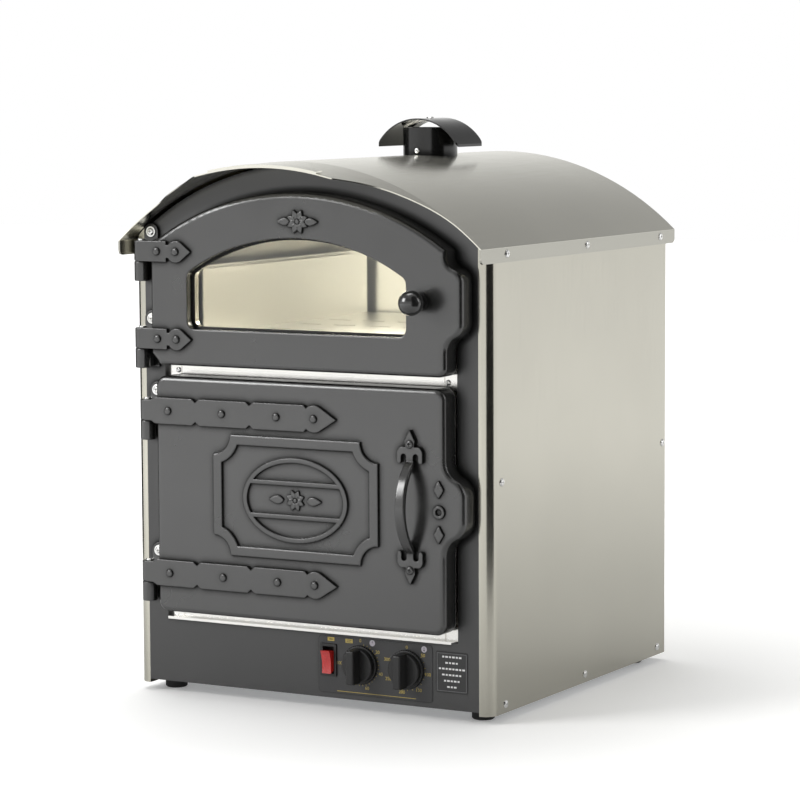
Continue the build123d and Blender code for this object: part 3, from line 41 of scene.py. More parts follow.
def corners(name):  # the low and high corner of a node's box
    points = [nodes[name].matrix_world @ Vector(corner) for corner in nodes[name].bound_box]
    return [Vector([pick(point[axis] for point in points) for axis in range(3)]) for pick in (min, max)]


fasciaFront = corners("fascia")[0].y
doorFront = corners("upper_door")[0].y
overlayFront = corners("control_overlay")[0].y
plateFront = corners("rating_plate")[0].y
print("frame loaded:", len(nodes), "nodes")


def place(x, y, z):  # from millimetres, with y from the fascia's front face, to the scene's metres
    return Vector((x * mm, y * mm + fasciaFront, z * mm))


def newObject(name, data):
    item = bpy.data.objects.new(name, data)
    bpy.context.collection.objects.link(item)
    return item


camera = {  # place and lens in mm, angles in degrees
    "position": (1761.6, -2938.8, 688.5),
    "heading": 29.261,
    "tilt": 5.837,
    "roll": -0.295,
    "lens": 142.46,
    "sensor": 36,
}


def addCamera():
    heading, tilt, roll = (math.radians(camera[key]) for key in ("heading", "tilt", "roll"))
    ahead = Vector((-math.sin(heading) * math.cos(tilt), math.cos(heading) * math.cos(tilt), -math.sin(tilt)))
    right = Vector((math.cos(heading), math.sin(heading), 0))
    up = right.cross(ahead)
    side = math.cos(roll) * right + math.sin(roll) * up
    top = -math.sin(roll) * right + math.cos(roll) * up
    data = bpy.data.cameras.new("viewCamera")
    data.sensor_width = camera["sensor"]
    data.lens = camera["lens"]
    data.clip_end = 50
    item = newObject("viewCamera", data)
    turn = Matrix((side, top, -ahead)).transposed()
    item.matrix_world = Matrix.Translation(place(*camera["position"])) @ turn.to_4x4()
    bpy.context.scene.camera = item


addCamera()
print("camera set")


def mathNode(tree, kind, a, b=None):
    node = tree.nodes.new("ShaderNodeMath")
    node.operation = kind
    for index, value in enumerate((a, b)):
        if value is None:
            continue
        if isinstance(value, (int, float)):
            node.inputs[index].default_value = value
        else:
            tree.links.new(value, node.inputs[index])
    return node.outputs[0]


def coordinate(tree, axis, kind="Object"):
    coords = tree.nodes.new("ShaderNodeTexCoord")
    split = tree.nodes.new("ShaderNodeSeparateXYZ")
    tree.links.new(coords.outputs[kind], split.inputs[0])
    return split.outputs[axis]


def seenDirectly(tree, rays):  # by the camera, or through glass
    return mathNode(tree, "MAXIMUM", rays.outputs["Is Camera Ray"], rays.outputs["Is Transmission Ray"])


def spread(tree, value, low, high, fromLow=0.3, fromHigh=0.7):  # maps one range to another
    node = tree.nodes.new("ShaderNodeMapRange")
    tree.links.new(value, node.inputs[0])
    for index, number in enumerate((fromLow, fromHigh, low, high)):
        node.inputs[index + 1].default_value = number
    return node.outputs[0]


def tinted(tree, share, first, second):  # blends two colours, by the second one's share
    node = tree.nodes.new("ShaderNodeMix")
    node.data_type = "RGBA"
    tree.links.new(share, node.inputs["Factor"])
    node.inputs["A"].default_value = (*first, 1)
    node.inputs["B"].default_value = (*second, 1)
    return node.outputs["Result"]


def newMaterial(name, colour, roughness, metallic=0.0):
    material = bpy.data.materials.new(name)
    material.use_nodes = True
    tree = material.node_tree
    shader = tree.nodes["Principled BSDF"]
    shader.inputs["Base Color"].default_value = (*colour, 1)
    shader.inputs["Roughness"].default_value = roughness
    shader.inputs["Metallic"].default_value = metallic
    return material, tree, shader


studio = {
    "room": [  # height of each band, from level to straight up, and its colour as reflections see it
        (0.12, (1.0, 1.0, 0.99)),
        (0.95, (0.75, 0.75, 0.74)),
        (0.50, (0.23, 0.23, 0.23)),
    ],
    "ambient": 0.55,  # strength of the room for diffuse rays
    "softboxes": [  # name, place in m, aimed at, size in m, watts
        ("frontLeftBox", (-2.1, -2.4, 1.9), (0, 0, 0.30), 1.5, 70),
        ("topBox", (-0.5, 0.3, 2.6), (0, 0, 0.4), 1.8, 40),
        ("rightBox", (2.6, 0.2, 1.5), (0.1, 0, 0.3), 1.2, 14),
    ],
    "flags": [  # dark boards that metal and enamel reflect: azimuth from the front towards the right, width
        ("rightFlag", 64.0, 1.25),
        ("leftFlag", -98.0, 0.85),
    ],
    "flagColour": (0.015, 0.015, 0.015),
    "flagDistance": 1.15,
    "flagHeight": 2.4,
    "floorHalf": 9.0,
    "floorNear": 0.4,  # from here to floorFar the floor's own light grows from floorLift to full
    "floorFar": 2.7,
    "floorLift": 0.20,
    "floorGloss": 0.9,  # what reflections see of the floor's own light, which the lamps light too
    "floorColour": (0.93, 0.93, 0.92),
    "floorMirrored": (0.5, 0.5, 0.5),  # its colour in reflections
    "cabinetLight": (1.0, 0.92, 0.78),
    "cabinetLamps": [  # name, place and aim in mm from the fascia's front, size in m, watts
        ("cabinetGlow", (0, 190, 518), (0, 190, -482), 0.16, 1.05),
        ("cabinetUplight", (0, 90, 400), (-60, 240, 540), 0.12, 0.3675),
    ],
}


def addWorld():
    world = bpy.data.worlds.new("paleStudio")
    bpy.context.scene.world = world
    world.use_nodes = True
    tree = world.node_tree
    tree.nodes.clear()
    out = tree.nodes.new("ShaderNodeOutputWorld")
    rays = tree.nodes.new("ShaderNodeLightPath")
    ramp = tree.nodes.new("ShaderNodeValToRGB")
    tree.links.new(coordinate(tree, "Z", "Generated"), ramp.inputs[0])
    bands = ramp.color_ramp.elements  # two are there from the start
    for index, (height, colour) in enumerate(studio["room"]):
        band = bands[index] if index < 2 else bands.new(height)
        band.position = height
        band.color = (*colour, 1)
    room = tree.nodes.new("ShaderNodeBackground")
    tree.links.new(ramp.outputs[0], room.inputs[0])
    glossy = mathNode(tree, "MULTIPLY", rays.outputs["Is Glossy Ray"], 1 - studio["ambient"])
    tree.links.new(mathNode(tree, "ADD", glossy, studio["ambient"]), room.inputs[1])
    white = tree.nodes.new("ShaderNodeBackground")
    white.inputs[0].default_value = (1, 1, 1, 1)
    mix = tree.nodes.new("ShaderNodeMixShader")
    tree.links.new(seenDirectly(tree, rays), mix.inputs[0])
    tree.links.new(room.outputs[0], mix.inputs[1])
    tree.links.new(white.outputs[0], mix.inputs[2])
    tree.links.new(mix.outputs[0], out.inputs[0])


def addSoftbox(name, spot, target, size, watts, colour=(1, 1, 1)):
    data = bpy.data.lights.new(name, "AREA")
    data.shape = "SQUARE"
    data.size = size
    data.energy = watts
    data.color = colour
    item = newObject(name, data)
    item.location = spot
    item.rotation_euler = (Vector(target) - Vector(spot)).to_track_quat("-Z", "Y").to_euler()


def flatBoard(name, points, material):
    mesh = bpy.data.meshes.new(name)
    mesh.from_pydata(points, [], [tuple(range(len(points)))])
    mesh.materials.append(material)
    item = newObject(name, mesh)
    return item


def addFloor():
    material, tree, shader = newMaterial("paleFloor", studio["floorColour"], 0.6)
    rays = tree.nodes.new("ShaderNodeLightPath")
    coords = tree.nodes.new("ShaderNodeTexCoord")
    away = tree.nodes.new("ShaderNodeVectorMath")
    away.operation = "LENGTH"
    tree.links.new(coords.outputs["Object"], away.inputs[0])
    near, far = studio["floorNear"], studio["floorFar"]
    fade = spread(tree, away.outputs["Value"], studio["floorLift"], 1.0, near, far)
    paint = tinted(tree, rays.outputs["Is Glossy Ray"], studio["floorColour"], studio["floorMirrored"])
    tree.links.new(paint, shader.inputs["Base Color"])
    glossy = mathNode(tree, "MULTIPLY", rays.outputs["Is Glossy Ray"], studio["floorGloss"])
    seen = mathNode(tree, "MAXIMUM", seenDirectly(tree, rays), glossy)
    shader.inputs["Emission Color"].default_value = (1, 1, 1, 1)
    tree.links.new(mathNode(tree, "MULTIPLY", seen, fade), shader.inputs["Emission Strength"])
    half = studio["floorHalf"]
    flatBoard("floor", [(-half, -half, 0), (half, -half, 0), (half, half, 0), (-half, half, 0)], material)


def addFlags():
    material, tree, shader = newMaterial("darkFlag", studio["flagColour"], 0.9)
    shader.inputs["Specular IOR Level"].default_value = 0.1
    top = Vector((0, 0, studio["flagHeight"]))
    for name, azimuth, width in studio["flags"]:
        angle = math.radians(azimuth)
        ahead = Vector((math.sin(angle), -math.cos(angle), 0)) * studio["flagDistance"]
        aside = Vector((math.cos(angle), math.sin(angle), 0)) * width / 2
        near, far = ahead - aside, ahead + aside
        board = flatBoard(name, [near, far, far + top, near + top], material)
        board.visible_camera = False
        board.visible_diffuse = False
        board.visible_shadow = False


addWorld()
for softbox in studio["softboxes"]:
    addSoftbox(*softbox)
addFloor()
addFlags()
for name, spot, aim, size, watts in studio["cabinetLamps"]:
    addSoftbox(name, place(*spot), place(*aim), size, watts, studio["cabinetLight"])
bpy.context.scene.view_settings.view_transform = "Standard"
print("studio set")


def objectNoise(tree, scale, stretch=(1, 1, 1), detail=4.0, rough=0.5):
    coords = tree.nodes.new("ShaderNodeTexCoord")
    mapping = tree.nodes.new("ShaderNodeMapping")
    mapping.inputs["Scale"].default_value = stretch
    noise = tree.nodes.new("ShaderNodeTexNoise")
    noise.inputs["Scale"].default_value = scale
    noise.inputs["Detail"].default_value = detail
    noise.inputs["Roughness"].default_value = rough
    tree.links.new(coords.outputs["Object"], mapping.inputs[0])
    tree.links.new(mapping.outputs[0], noise.inputs["Vector"])
    return noise.outputs["Fac"]


def bumped(tree, shader, value, distance, strength, under=None):  # under is a normal that it builds on
    node = tree.nodes.new("ShaderNodeBump")
    node.inputs["Strength"].default_value = strength
    node.inputs["Distance"].default_value = distance
    tree.links.new(value, node.inputs["Height"])
    if under is not None:
        tree.links.new(under, node.inputs["Normal"])
    tree.links.new(node.outputs[0], shader.inputs["Normal"])
    return node.outputs[0]


def shade(colour, factor):
    return tuple(channel * factor for channel in colour)


def softEdges(tree, radius):  # edges catch the light as if slightly rounded, by a radius in mm
    node = tree.nodes.new("ShaderNodeBevel")
    node.samples = 4
    node.inputs["Radius"].default_value = radius * mm
    return node.outputs[0]


brush = {  # stretch and scale of the lines and clouds, depth in m, height of the roof's folded eave in mm
    "across": 260.0,
    "along": 3.0,
    "streaks": 6.0,
    "clouds": 7.0,
    "depth": 0.00001,
    "shades": (0.97, 1.02),
    "eave": 15.6,
    "cloudShare": 0.1,
}


def brushedSteel(name, colour, roughness, grain, eaveShade=None):
    # grain is the direction of the brush lines: long streaks that way, fine lines across it
    material, tree, shader = newMaterial(name, colour, roughness, 1.0)
    stretch = [brush["across"]] * 3
    stretch["xyz".index(grain)] = brush["along"]
    streaks = objectNoise(tree, brush["streaks"], stretch, 3.0, 0.6)
    clouds = objectNoise(tree, brush["clouds"], (1, 1, 1), 2.0)
    low, high = (shade(colour, factor) for factor in brush["shades"])
    share = spread(tree, clouds, 0, 1)
    if eaveShade:  # the folded eave is painted darker by this factor, a painted shade
        eave = corners("roof")[0].z + brush["eave"] * mm
        above = mathNode(tree, "GREATER_THAN", coordinate(tree, "Z"), eave)
        cloudy = mathNode(tree, "MULTIPLY", mathNode(tree, "MULTIPLY", above, share), brush["cloudShare"])
        share = mathNode(tree, "ADD", cloudy, mathNode(tree, "MULTIPLY", above, 1 - brush["cloudShare"]))
        low = shade(colour, eaveShade)
    tree.links.new(tinted(tree, share, low, high), shader.inputs["Base Color"])
    tree.links.new(spread(tree, streaks, roughness - 0.04, roughness + 0.05), shader.inputs["Roughness"])
    bumped(tree, shader, streaks, brush["depth"], 0.4)
    return material


enamel = {  # scale of the peel and of the waves, their depth in m, and how far the painted shade of a nook reaches in mm
    "peel": 520.0,
    "waves": 16.0,
    "waveDepth": 0.0003,
    "nookReach": 8.0,
    "nookPower": 4.5,
    "paintedNookShade": (0.02, 0.02, 0.02),
}


def satinEnamel(name, colour, roughness, edge, peel=0.00002, gloss=1.0, index=1.5):
    # sprayed satin enamel: a fine orange peel over a faint waviness; recessed sides have their reflections
    # darkened, a painted shade
    material, tree, shader = newMaterial(name, colour, roughness)
    fine = objectNoise(tree, enamel["peel"], (1, 1, 1), 2.0)
    wide = objectNoise(tree, enamel["waves"], (1, 1, 1), 3.0)
    tree.links.new(tinted(tree, spread(tree, wide, 0, 1), shade(colour, 0.85), shade(colour, 1.15)),
                   shader.inputs["Base Color"])
    tree.links.new(spread(tree, wide, roughness - 0.03, roughness + 0.04), shader.inputs["Roughness"])
    low = bumped(tree, shader, wide, enamel["waveDepth"], 0.25, softEdges(tree, edge))
    bumped(tree, shader, fine, peel, 0.5, low)
    shader.inputs["Specular IOR Level"].default_value = gloss
    shader.inputs["IOR"].default_value = index
    # painted shade: ambient occlusion darkens the enamel's reflections in nooks and beside raised parts
    nook = tree.nodes.new("ShaderNodeAmbientOcclusion")
    nook.samples = 6
    nook.inputs["Distance"].default_value = enamel["nookReach"] * mm
    clear = mathNode(tree, "POWER", nook.outputs["AO"], enamel["nookPower"])
    tree.links.new(tinted(tree, clear, enamel["paintedNookShade"], (1, 1, 1)), shader.inputs["Specular Tint"])
    return material


def mouldedPlastic(name, colour, roughness, grainSize=900.0, depth=0.00003):
    material, tree, shader = newMaterial(name, colour, roughness)
    grain = objectNoise(tree, grainSize, (1, 1, 1), 2.0)
    tree.links.new(tinted(tree, spread(tree, grain, 0, 1), shade(colour, 0.9), shade(colour, 1.1)),
                   shader.inputs["Base Color"])
    bumped(tree, shader, grain, depth, 0.6)
    return material


def wornMetal(name, colour, roughness, metallic, stain, amount):
    # bare metal with a little heat tint or handling stain
    material, tree, shader = newMaterial(name, colour, roughness, metallic)
    blotch = objectNoise(tree, 38.0, (1, 1, 1), 5.0, 0.6)
    tree.links.new(tinted(tree, spread(tree, blotch, 0, amount, 0.45, 0.75), colour, stain),
                   shader.inputs["Base Color"])
    tree.links.new(spread(tree, blotch, roughness - 0.05, roughness + 0.1), shader.inputs["Roughness"])
    bumped(tree, shader, objectNoise(tree, 600.0, (1, 1, 1), 2.0), 0.00002, 0.5)
    return material


def clearGlass():
    material, tree, shader = newMaterial("doorGlass", (0.93, 0.96, 0.95), 0.02)
    shader.inputs["Transmission Weight"].default_value = 1.0
    shader.inputs["IOR"].default_value = 1.45
    smear = objectNoise(tree, 14.0, (1, 1, 1), 3.0)
    tree.links.new(spread(tree, smear, 0.01, 0.05), shader.inputs["Roughness"])
    return material


def lampGlass():
    material, tree, shader = newMaterial("lampGlass", (1.0, 0.86, 0.6), 0.25)
    shader.inputs["Emission Color"].default_value = (1.0, 0.82, 0.5, 1)
    glow = objectNoise(tree, 60.0)
    tree.links.new(spread(tree, glow, 2.0, 3.2), shader.inputs["Emission Strength"])
    return material


def woolBlanket():
    material, tree, shader = newMaterial("mineralWool", (0.62, 0.52, 0.33), 0.95)
    fibres = objectNoise(tree, 180.0, (1, 5, 1), 6.0, 0.7)
    tree.links.new(tinted(tree, spread(tree, fibres, 0, 1), (0.45, 0.37, 0.22), (0.75, 0.65, 0.45)),
                   shader.inputs["Base Color"])
    bumped(tree, shader, fibres, 0.002, 0.8)
    return material


rockerKey = {
    "glow": (1.0, 0.04, 0.03),
    "glowStrength": 0.06,
    "flutes": 3600.0,  # radians for each metre across
    "fluteDepth": 0.0002,
    "dark": (0.42, 0.012, 0.012),
    "light": (0.52, 0.022, 0.022),
}


def redRocker():
    # a fluted translucent key: fine upright ribs catch the light
    material, tree, shader = newMaterial("redRocker", rockerKey["dark"], 0.18)
    shader.inputs["Emission Color"].default_value = (*rockerKey["glow"], 1)
    shader.inputs["Emission Strength"].default_value = rockerKey["glowStrength"]
    shader.inputs["Specular IOR Level"].default_value = 1.0
    wave = mathNode(tree, "SINE", mathNode(tree, "MULTIPLY", coordinate(tree, "X"), rockerKey["flutes"]))
    bumped(tree, shader, wave, rockerKey["fluteDepth"], 0.8)
    grain = objectNoise(tree, 500.0)
    tree.links.new(tinted(tree, spread(tree, grain, 0, 1), rockerKey["dark"], rockerKey["light"]),
                   shader.inputs["Base Color"])
    return material


finishes = {material.name: material for material in (
    # one brushed stainless in three brightnesses: darker on the side panels, a painted shade, and lighter on
    # the front rails, jambs, sill and retainer, a painted light
    brushedSteel("sideSteel", (0.50, 0.485, 0.42), 0.17, "z"),
    brushedSteel("roofSteel", (0.76, 0.745, 0.665), 0.22, "y", eaveShade=0.56),
    brushedSteel("frontSteel", (0.82, 0.81, 0.78), 0.2, "x"),
    satinEnamel("cowlEnamel", (0.006, 0.006, 0.006), 0.16, 0.3, gloss=0.6),
    brushedSteel("innerSteel", (0.62, 0.61, 0.57), 0.32, "y"),
    wornMetal("galvanised", (0.62, 0.64, 0.66), 0.42, 1.0, (0.42, 0.44, 0.47), 0.8),
    satinEnamel("doorEnamel", (0.009, 0.009, 0.0085), 0.24, 2.2, index=1.57),
    satinEnamel("fasciaEnamel", (0.008, 0.008, 0.008), 0.34, 0.6),
    satinEnamel("strapEnamel", (0.008, 0.008, 0.0075), 0.23, 1.7, index=1.57),
    satinEnamel("knobEnamel", (0.010, 0.010, 0.010), 0.16, 0.4, 0.00001),
    wornMetal("zinc", (0.80, 0.80, 0.79), 0.2, 1.0, (0.6, 0.58, 0.5), 0.3),
    wornMetal("wire", (0.72, 0.72, 0.71), 0.2, 1.0, (0.5, 0.38, 0.2), 0.35),
    mouldedPlastic("rubber", (0.02, 0.02, 0.02), 0.75, 700.0, 0.00006),
    mouldedPlastic("seal", (0.03, 0.03, 0.03), 0.6, 900.0, 0.00004),
    mouldedPlastic("blackPlastic", (0.014, 0.014, 0.014), 0.42),
    mouldedPlastic("ceramic", (0.80, 0.78, 0.72), 0.3, 300.0),
    wornMetal("heater", (0.10, 0.095, 0.09), 0.5, 0.6, (0.28, 0.16, 0.10), 0.6),
    wornMetal("castAluminium", (0.70, 0.70, 0.70), 0.35, 1.0, (0.5, 0.5, 0.5), 0.4),
    mouldedPlastic("overlay", (0.040, 0.040, 0.041), 0.34, 1200.0, 0.00001),
    mouldedPlastic("plate", (0.026, 0.026, 0.026), 0.3, 1000.0, 0.00001),
    mouldedPlastic("goldPrint", (0.50, 0.38, 0.08), 0.35, 900.0, 0.00001),
    mouldedPlastic("whitePrint", (0.74, 0.74, 0.74), 0.4, 900.0, 0.00001),
    mouldedPlastic("palePrint", (0.48, 0.45, 0.50), 0.4, 900.0, 0.00001),
    mouldedPlastic("greyPrint", (0.20, 0.20, 0.21), 0.4, 900.0, 0.00001),
    clearGlass(),
    lampGlass(),
    woolBlanket(),
    redRocker(),
)}

nodeFinishes = {
    "sideSteel": ["right_side_panel", "left_side_panel", "back_panel"],
    "roofSteel": ["roof"],
    "frontSteel": ["front_rails", "front_jambs", "door_sill", "window_retainer"],
    "cowlEnamel": ["chimney_pipe", "cowl"],
    "innerSteel": ["oven_liner", "display_liner", "upper_door_liner", "lower_door_liner", "display_tray",
                   "fan_baffle", "cowl_bracket", "flue_spigot"],
    "galvanised": ["base_pan", "chassis_frame"],
    "doorEnamel": ["upper_door", "lower_door"],
    "fasciaEnamel": ["fascia"],
    "strapEnamel": ["upper_hinge_straps", "lower_hinge_straps", "upper_strap_rivets", "lower_strap_rivets",
                    "hinge_brackets", "lower_door_handle", "handle_screws"],
    "knobEnamel": ["upper_door_knob"],
    "zinc": ["casing_screws", "cowl_screws", "hinge_pins", "bracket_screws"],
    "wire": ["rack_supports", "lower_rack", "middle_rack", "upper_rack"],
    "rubber": ["feet"],
    "seal": ["upper_door_seal", "lower_door_seal"],
    "blackPlastic": ["timer_knob", "thermostat_knob", "switch_housing", "cable_gland", "door_magnets"],
    "ceramic": ["lamp_holder", "control_bodies"],
    "heater": ["ring_element", "display_element", "fan_motor"],
    "castAluminium": ["fan_rotor"],
    "overlay": ["control_overlay"],
    "plate": ["rating_plate"],
    "doorGlass": ["door_window"],
    "lampGlass": ["display_lamp"],
    "mineralWool": ["casing_insulation", "lower_door_insulation"],
    "redRocker": ["switch_rocker"],
}
bare = set(nodes)
for finish, names in nodeFinishes.items():
    for name in names:
        bare.discard(name)
        for slot in nodes[name].material_slots:
            slot.material = finishes[finish]
print("materials set, nodes without one:", sorted(bare))


def addPiece(name, mesh, finish, body):
    mesh.materials.clear()
    mesh.materials.append(finishes[finish])
    for polygon in mesh.polygons:
        polygon.material_index = 0
    item = newObject(name, mesh)
    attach(item, body)
    return item


def bakedMesh(item, name):  # an object's evaluated shape as a plain mesh; the object goes
    graph = bpy.context.evaluated_depsgraph_get()
    mesh = bpy.data.meshes.new_from_object(item.evaluated_get(graph))
    mesh.name = name
    bpy.data.objects.remove(item)
    return mesh


upright = Matrix.Rotation(math.radians(90), 4, "X")  # stands a flat drawing up, facing the front


def circle(x, z, radius, count=40):
    turns = [2 * math.pi * step / count for step in range(count)]
    return [(x + radius * math.cos(turn), z + radius * math.sin(turn)) for turn in turns]


def lozenge(x, z, width, height):
    return [(x, z - height / 2), (x + width / 2, z), (x, z + height / 2), (x - width / 2, z)]


def rectangle(x, z, width, height):
    return [(x + a * width / 2, z + b * height / 2) for a, b in ((-1, -1), (1, -1), (1, 1), (-1, 1))]


def leaf(x, z, length, width, way=1, count=14):  # pointed at both ends, fullest near its root
    along = [step / count for step in range(count + 1)]
    half = [width / 2 * math.sin(math.pi * t ** 0.75) for t in along]
    upper = [(x + way * length * t, z + h) for t, h in zip(along, half)]
    lower = [(x + way * length * t, z - h) for t, h in zip(along, half)]
    return upper + lower[-2:0:-1]


def drawing(name, outlines, height, rounding=0.0):
    # flat outlines in mm, inner ones cut out, raised by a height and rounded at the edge
    curve = bpy.data.curves.new(name, "CURVE")
    curve.dimensions = "2D"
    curve.fill_mode = "BOTH"
    curve.extrude = (height / 2 - rounding) * mm
    curve.bevel_depth = rounding * mm
    curve.bevel_resolution = 2
    curve.offset = -rounding * mm
    for outline in outlines:
        spline = curve.splines.new("POLY")
        spline.points.add(len(outline) - 1)
        for point, (x, z) in zip(spline.points, outline):
            point.co = (x * mm, z * mm, 0, 1)
        spline.use_cyclic_u = True
    return newObject(name, curve)


def relief(name, outlines, face, height, finish, body, rounding=0.0, sunk=0.0):
    # face is the y of the surface that carries it
    mesh = bakedMesh(drawing(name, outlines, height + sunk, rounding), name)
    mesh.transform(Matrix.Translation((0, face - (height - sunk) / 2 * mm, 0)) @ upright)
    return addPiece(name, mesh, finish, body)


lettering = {"size": 5.2, "thickness": 0.04, "proud": 0.03}
printHeight = 0.05


def words(name, entries, face, finish, body):  # entries are (text, x, z) in mm
    parts = bmesh.new()
    for text, x, z in entries:
        curve = bpy.data.curves.new(name, "FONT")
        curve.body = text
        curve.size = lettering["size"] * mm
        curve.align_x = "CENTER"
        curve.align_y = "CENTER"
        curve.extrude = lettering["thickness"] / 2 * mm
        mesh = bakedMesh(newObject(name, curve), name)
        mesh.transform(Matrix.Translation((x * mm, face - lettering["proud"] * mm, z * mm)) @ upright)
        parts.from_mesh(mesh)
        bpy.data.meshes.remove(mesh)
    whole = bpy.data.meshes.new(name)
    parts.to_mesh(whole)
    parts.free()
    return addPiece(name, whole, finish, body)


def newTree(name, inputs):
    tree = bpy.data.node_groups.new(name, "GeometryNodeTree")
    tree.interface.new_socket("Geometry", in_out="INPUT", socket_type="NodeSocketGeometry")
    tree.interface.new_socket("Geometry", in_out="OUTPUT", socket_type="NodeSocketGeometry")
    for label, kind in inputs:
        tree.interface.new_socket(label, in_out="INPUT", socket_type="NodeSocket" + kind)
    return tree, tree.nodes.new("NodeGroupInput"), tree.nodes.new("NodeGroupOutput")


def finishTree(tree, entry, outlet, instances):
    realise = tree.nodes.new("GeometryNodeRealizeInstances")
    coat = tree.nodes.new("GeometryNodeSetMaterial")
    tree.links.new(instances, realise.inputs[0])
    tree.links.new(realise.outputs[0], coat.inputs[0])
    tree.links.new(entry.outputs["Finish"], coat.inputs["Material"])
    tree.links.new(coat.outputs[0], outlet.inputs[0])


def ringTree():  # copies of one piece round a circle that faces the front
    inputs = [("Piece", "Object"), ("Count", "Int"), ("Radius", "Float"), ("Start", "Float"),
              ("Step", "Float"), ("Finish", "Material")]
    tree, entry, outlet = newTree("ringOfPieces", inputs)
    index = tree.nodes.new("GeometryNodeInputIndex")
    angle = mathNode(tree, "ADD", mathNode(tree, "MULTIPLY", index.outputs[0], entry.outputs["Step"]),
                     entry.outputs["Start"])
    spot = tree.nodes.new("ShaderNodeCombineXYZ")
    across = mathNode(tree, "MULTIPLY", mathNode(tree, "COSINE", angle), entry.outputs["Radius"])
    above = mathNode(tree, "MULTIPLY", mathNode(tree, "SINE", angle), entry.outputs["Radius"])
    tree.links.new(across, spot.inputs["X"])
    tree.links.new(above, spot.inputs["Z"])
    turn = tree.nodes.new("ShaderNodeCombineXYZ")
    tree.links.new(mathNode(tree, "MULTIPLY", angle, -1.0), turn.inputs["Y"])
    points = tree.nodes.new("GeometryNodePoints")
    tree.links.new(entry.outputs["Count"], points.inputs["Count"])
    tree.links.new(spot.outputs[0], points.inputs["Position"])
    piece = tree.nodes.new("GeometryNodeObjectInfo")
    tree.links.new(entry.outputs["Piece"], piece.inputs["Object"])
    copies = tree.nodes.new("GeometryNodeInstanceOnPoints")
    tree.links.new(points.outputs[0], copies.inputs["Points"])
    tree.links.new(piece.outputs["Geometry"], copies.inputs["Instance"])
    tree.links.new(turn.outputs[0], copies.inputs["Rotation"])
    finishTree(tree, entry, outlet, copies.outputs[0])
    return tree


def headTree():  # one piece on every point, turned and sized by the point's own attributes
    tree, entry, outlet = newTree("pieceOnPoints", [("Piece", "Object"), ("Finish", "Material")])
    turn = tree.nodes.new("GeometryNodeInputNamedAttribute")
    turn.data_type = "FLOAT_VECTOR"
    turn.inputs["Name"].default_value = "turn"
    size = tree.nodes.new("GeometryNodeInputNamedAttribute")
    size.data_type = "FLOAT"
    size.inputs["Name"].default_value = "headRadius"
    piece = tree.nodes.new("GeometryNodeObjectInfo")
    tree.links.new(entry.outputs["Piece"], piece.inputs["Object"])
    copies = tree.nodes.new("GeometryNodeInstanceOnPoints")
    tree.links.new(entry.outputs["Geometry"], copies.inputs["Points"])
    tree.links.new(piece.outputs["Geometry"], copies.inputs["Instance"])
    tree.links.new(turn.outputs[0], copies.inputs["Rotation"])
    tree.links.new(size.outputs[0], copies.inputs["Scale"])
    finishTree(tree, entry, outlet, copies.outputs[0])
    return tree


trees = {"ring": ringTree(), "heads": headTree()}


def grown(name, mesh, tree, values):  # runs a node tree on a mesh and keeps the result as a plain mesh
    item = newObject(name, mesh)
    modifier = item.modifiers.new(name, "NODES")
    modifier.node_group = tree
    for socket in tree.interface.items_tree:
        if socket.in_out == "INPUT" and socket.name in values:
            modifier[socket.identifier] = values[socket.name]
    return bakedMesh(item, name)


def ring(name, piece, centre, count, radius, start, step, finish, body):
    # angles in degrees from the right, anticlockwise as seen from the front
    values = {"Piece": piece, "Count": count, "Radius": radius * mm, "Start": math.radians(start),
              "Step": math.radians(step), "Finish": finishes[finish]}
    mesh = grown(name, bpy.data.meshes.new(name), trees["ring"], values)
    mesh.transform(Matrix.Translation(centre))
    return addPiece(name, mesh, finish, body)


def loosePiece(name, outlines, height, rounding=0.0):  # a source for copies, made upright about the origin
    mesh = bakedMesh(drawing(name, outlines, height, rounding), name)
    mesh.transform(Matrix.Translation((0, -height / 2 * mm, 0)) @ upright)
    return newObject(name, mesh)


ornament = {"petals": 8, "rounding": 0.45, "sunk": 0.2}
rosettes = [  # a flower with a leaf on either side; petal and leaf give length and width
    {"name": "upperRosette", "body": "upper_leaf", "x": 5.7, "z": 534.0, "hub": 2.6, "petal": (13.5, 6.6),
     "gap": 9.5, "leaf": (16.0, 8.0), "height": 2.4},
    {"name": "ovalRosette", "body": "lower_leaf", "x": 0.0, "z": 231.9, "hub": 2.4, "petal": (12.0, 6.0),
     "gap": 14.5, "leaf": (19.0, 9.0), "height": 1.8},
]


def addRosette(facts):
    name, body, x, z, hub, height = (facts[key] for key in ("name", "body", "x", "z", "hub", "height"))
    rounding, sunk = ornament["rounding"], ornament["sunk"]
    length, width = facts["petal"]
    petal = loosePiece("petal", [leaf(0, 0, length - hub, width)], height, rounding)
    centre = Vector((x * mm, doorFront + sunk * mm, z * mm))
    step = 360 / ornament["petals"]
    ring(name + "Petals", petal, centre, ornament["petals"], hub, step / 2, step, "doorEnamel", body)
    bpy.data.objects.remove(petal)
    outlines = [circle(x, z, hub)]
    for way in (-1, 1):
        outlines.append(leaf(x + way * facts["gap"], z, *facts["leaf"], way))
    relief(name, outlines, doorFront, height, "doorEnamel", body, rounding, sunk)


for facts in rosettes:
    addRosette(facts)

pillar = {"x": 177.0, "z": 230.0, "pitch": 24.0, "lozenge": (12.0, 19.0), "ring": (7.0, 3.6), "height": 2.2,
          "rounding": 0.4}


def addPillar():  # a ring between two lozenges, beside the handle
    x, z = pillar["x"], pillar["z"]
    outlines = [lozenge(x, z + way * pillar["pitch"], *pillar["lozenge"]) for way in (-1, 1)]
    outlines += [circle(x, z, radius) for radius in pillar["ring"]]
    relief("pillar", outlines, doorFront, pillar["height"], "doorEnamel", "lower_leaf", pillar["rounding"],
           ornament["sunk"])


addPillar()
print("ornaments added")

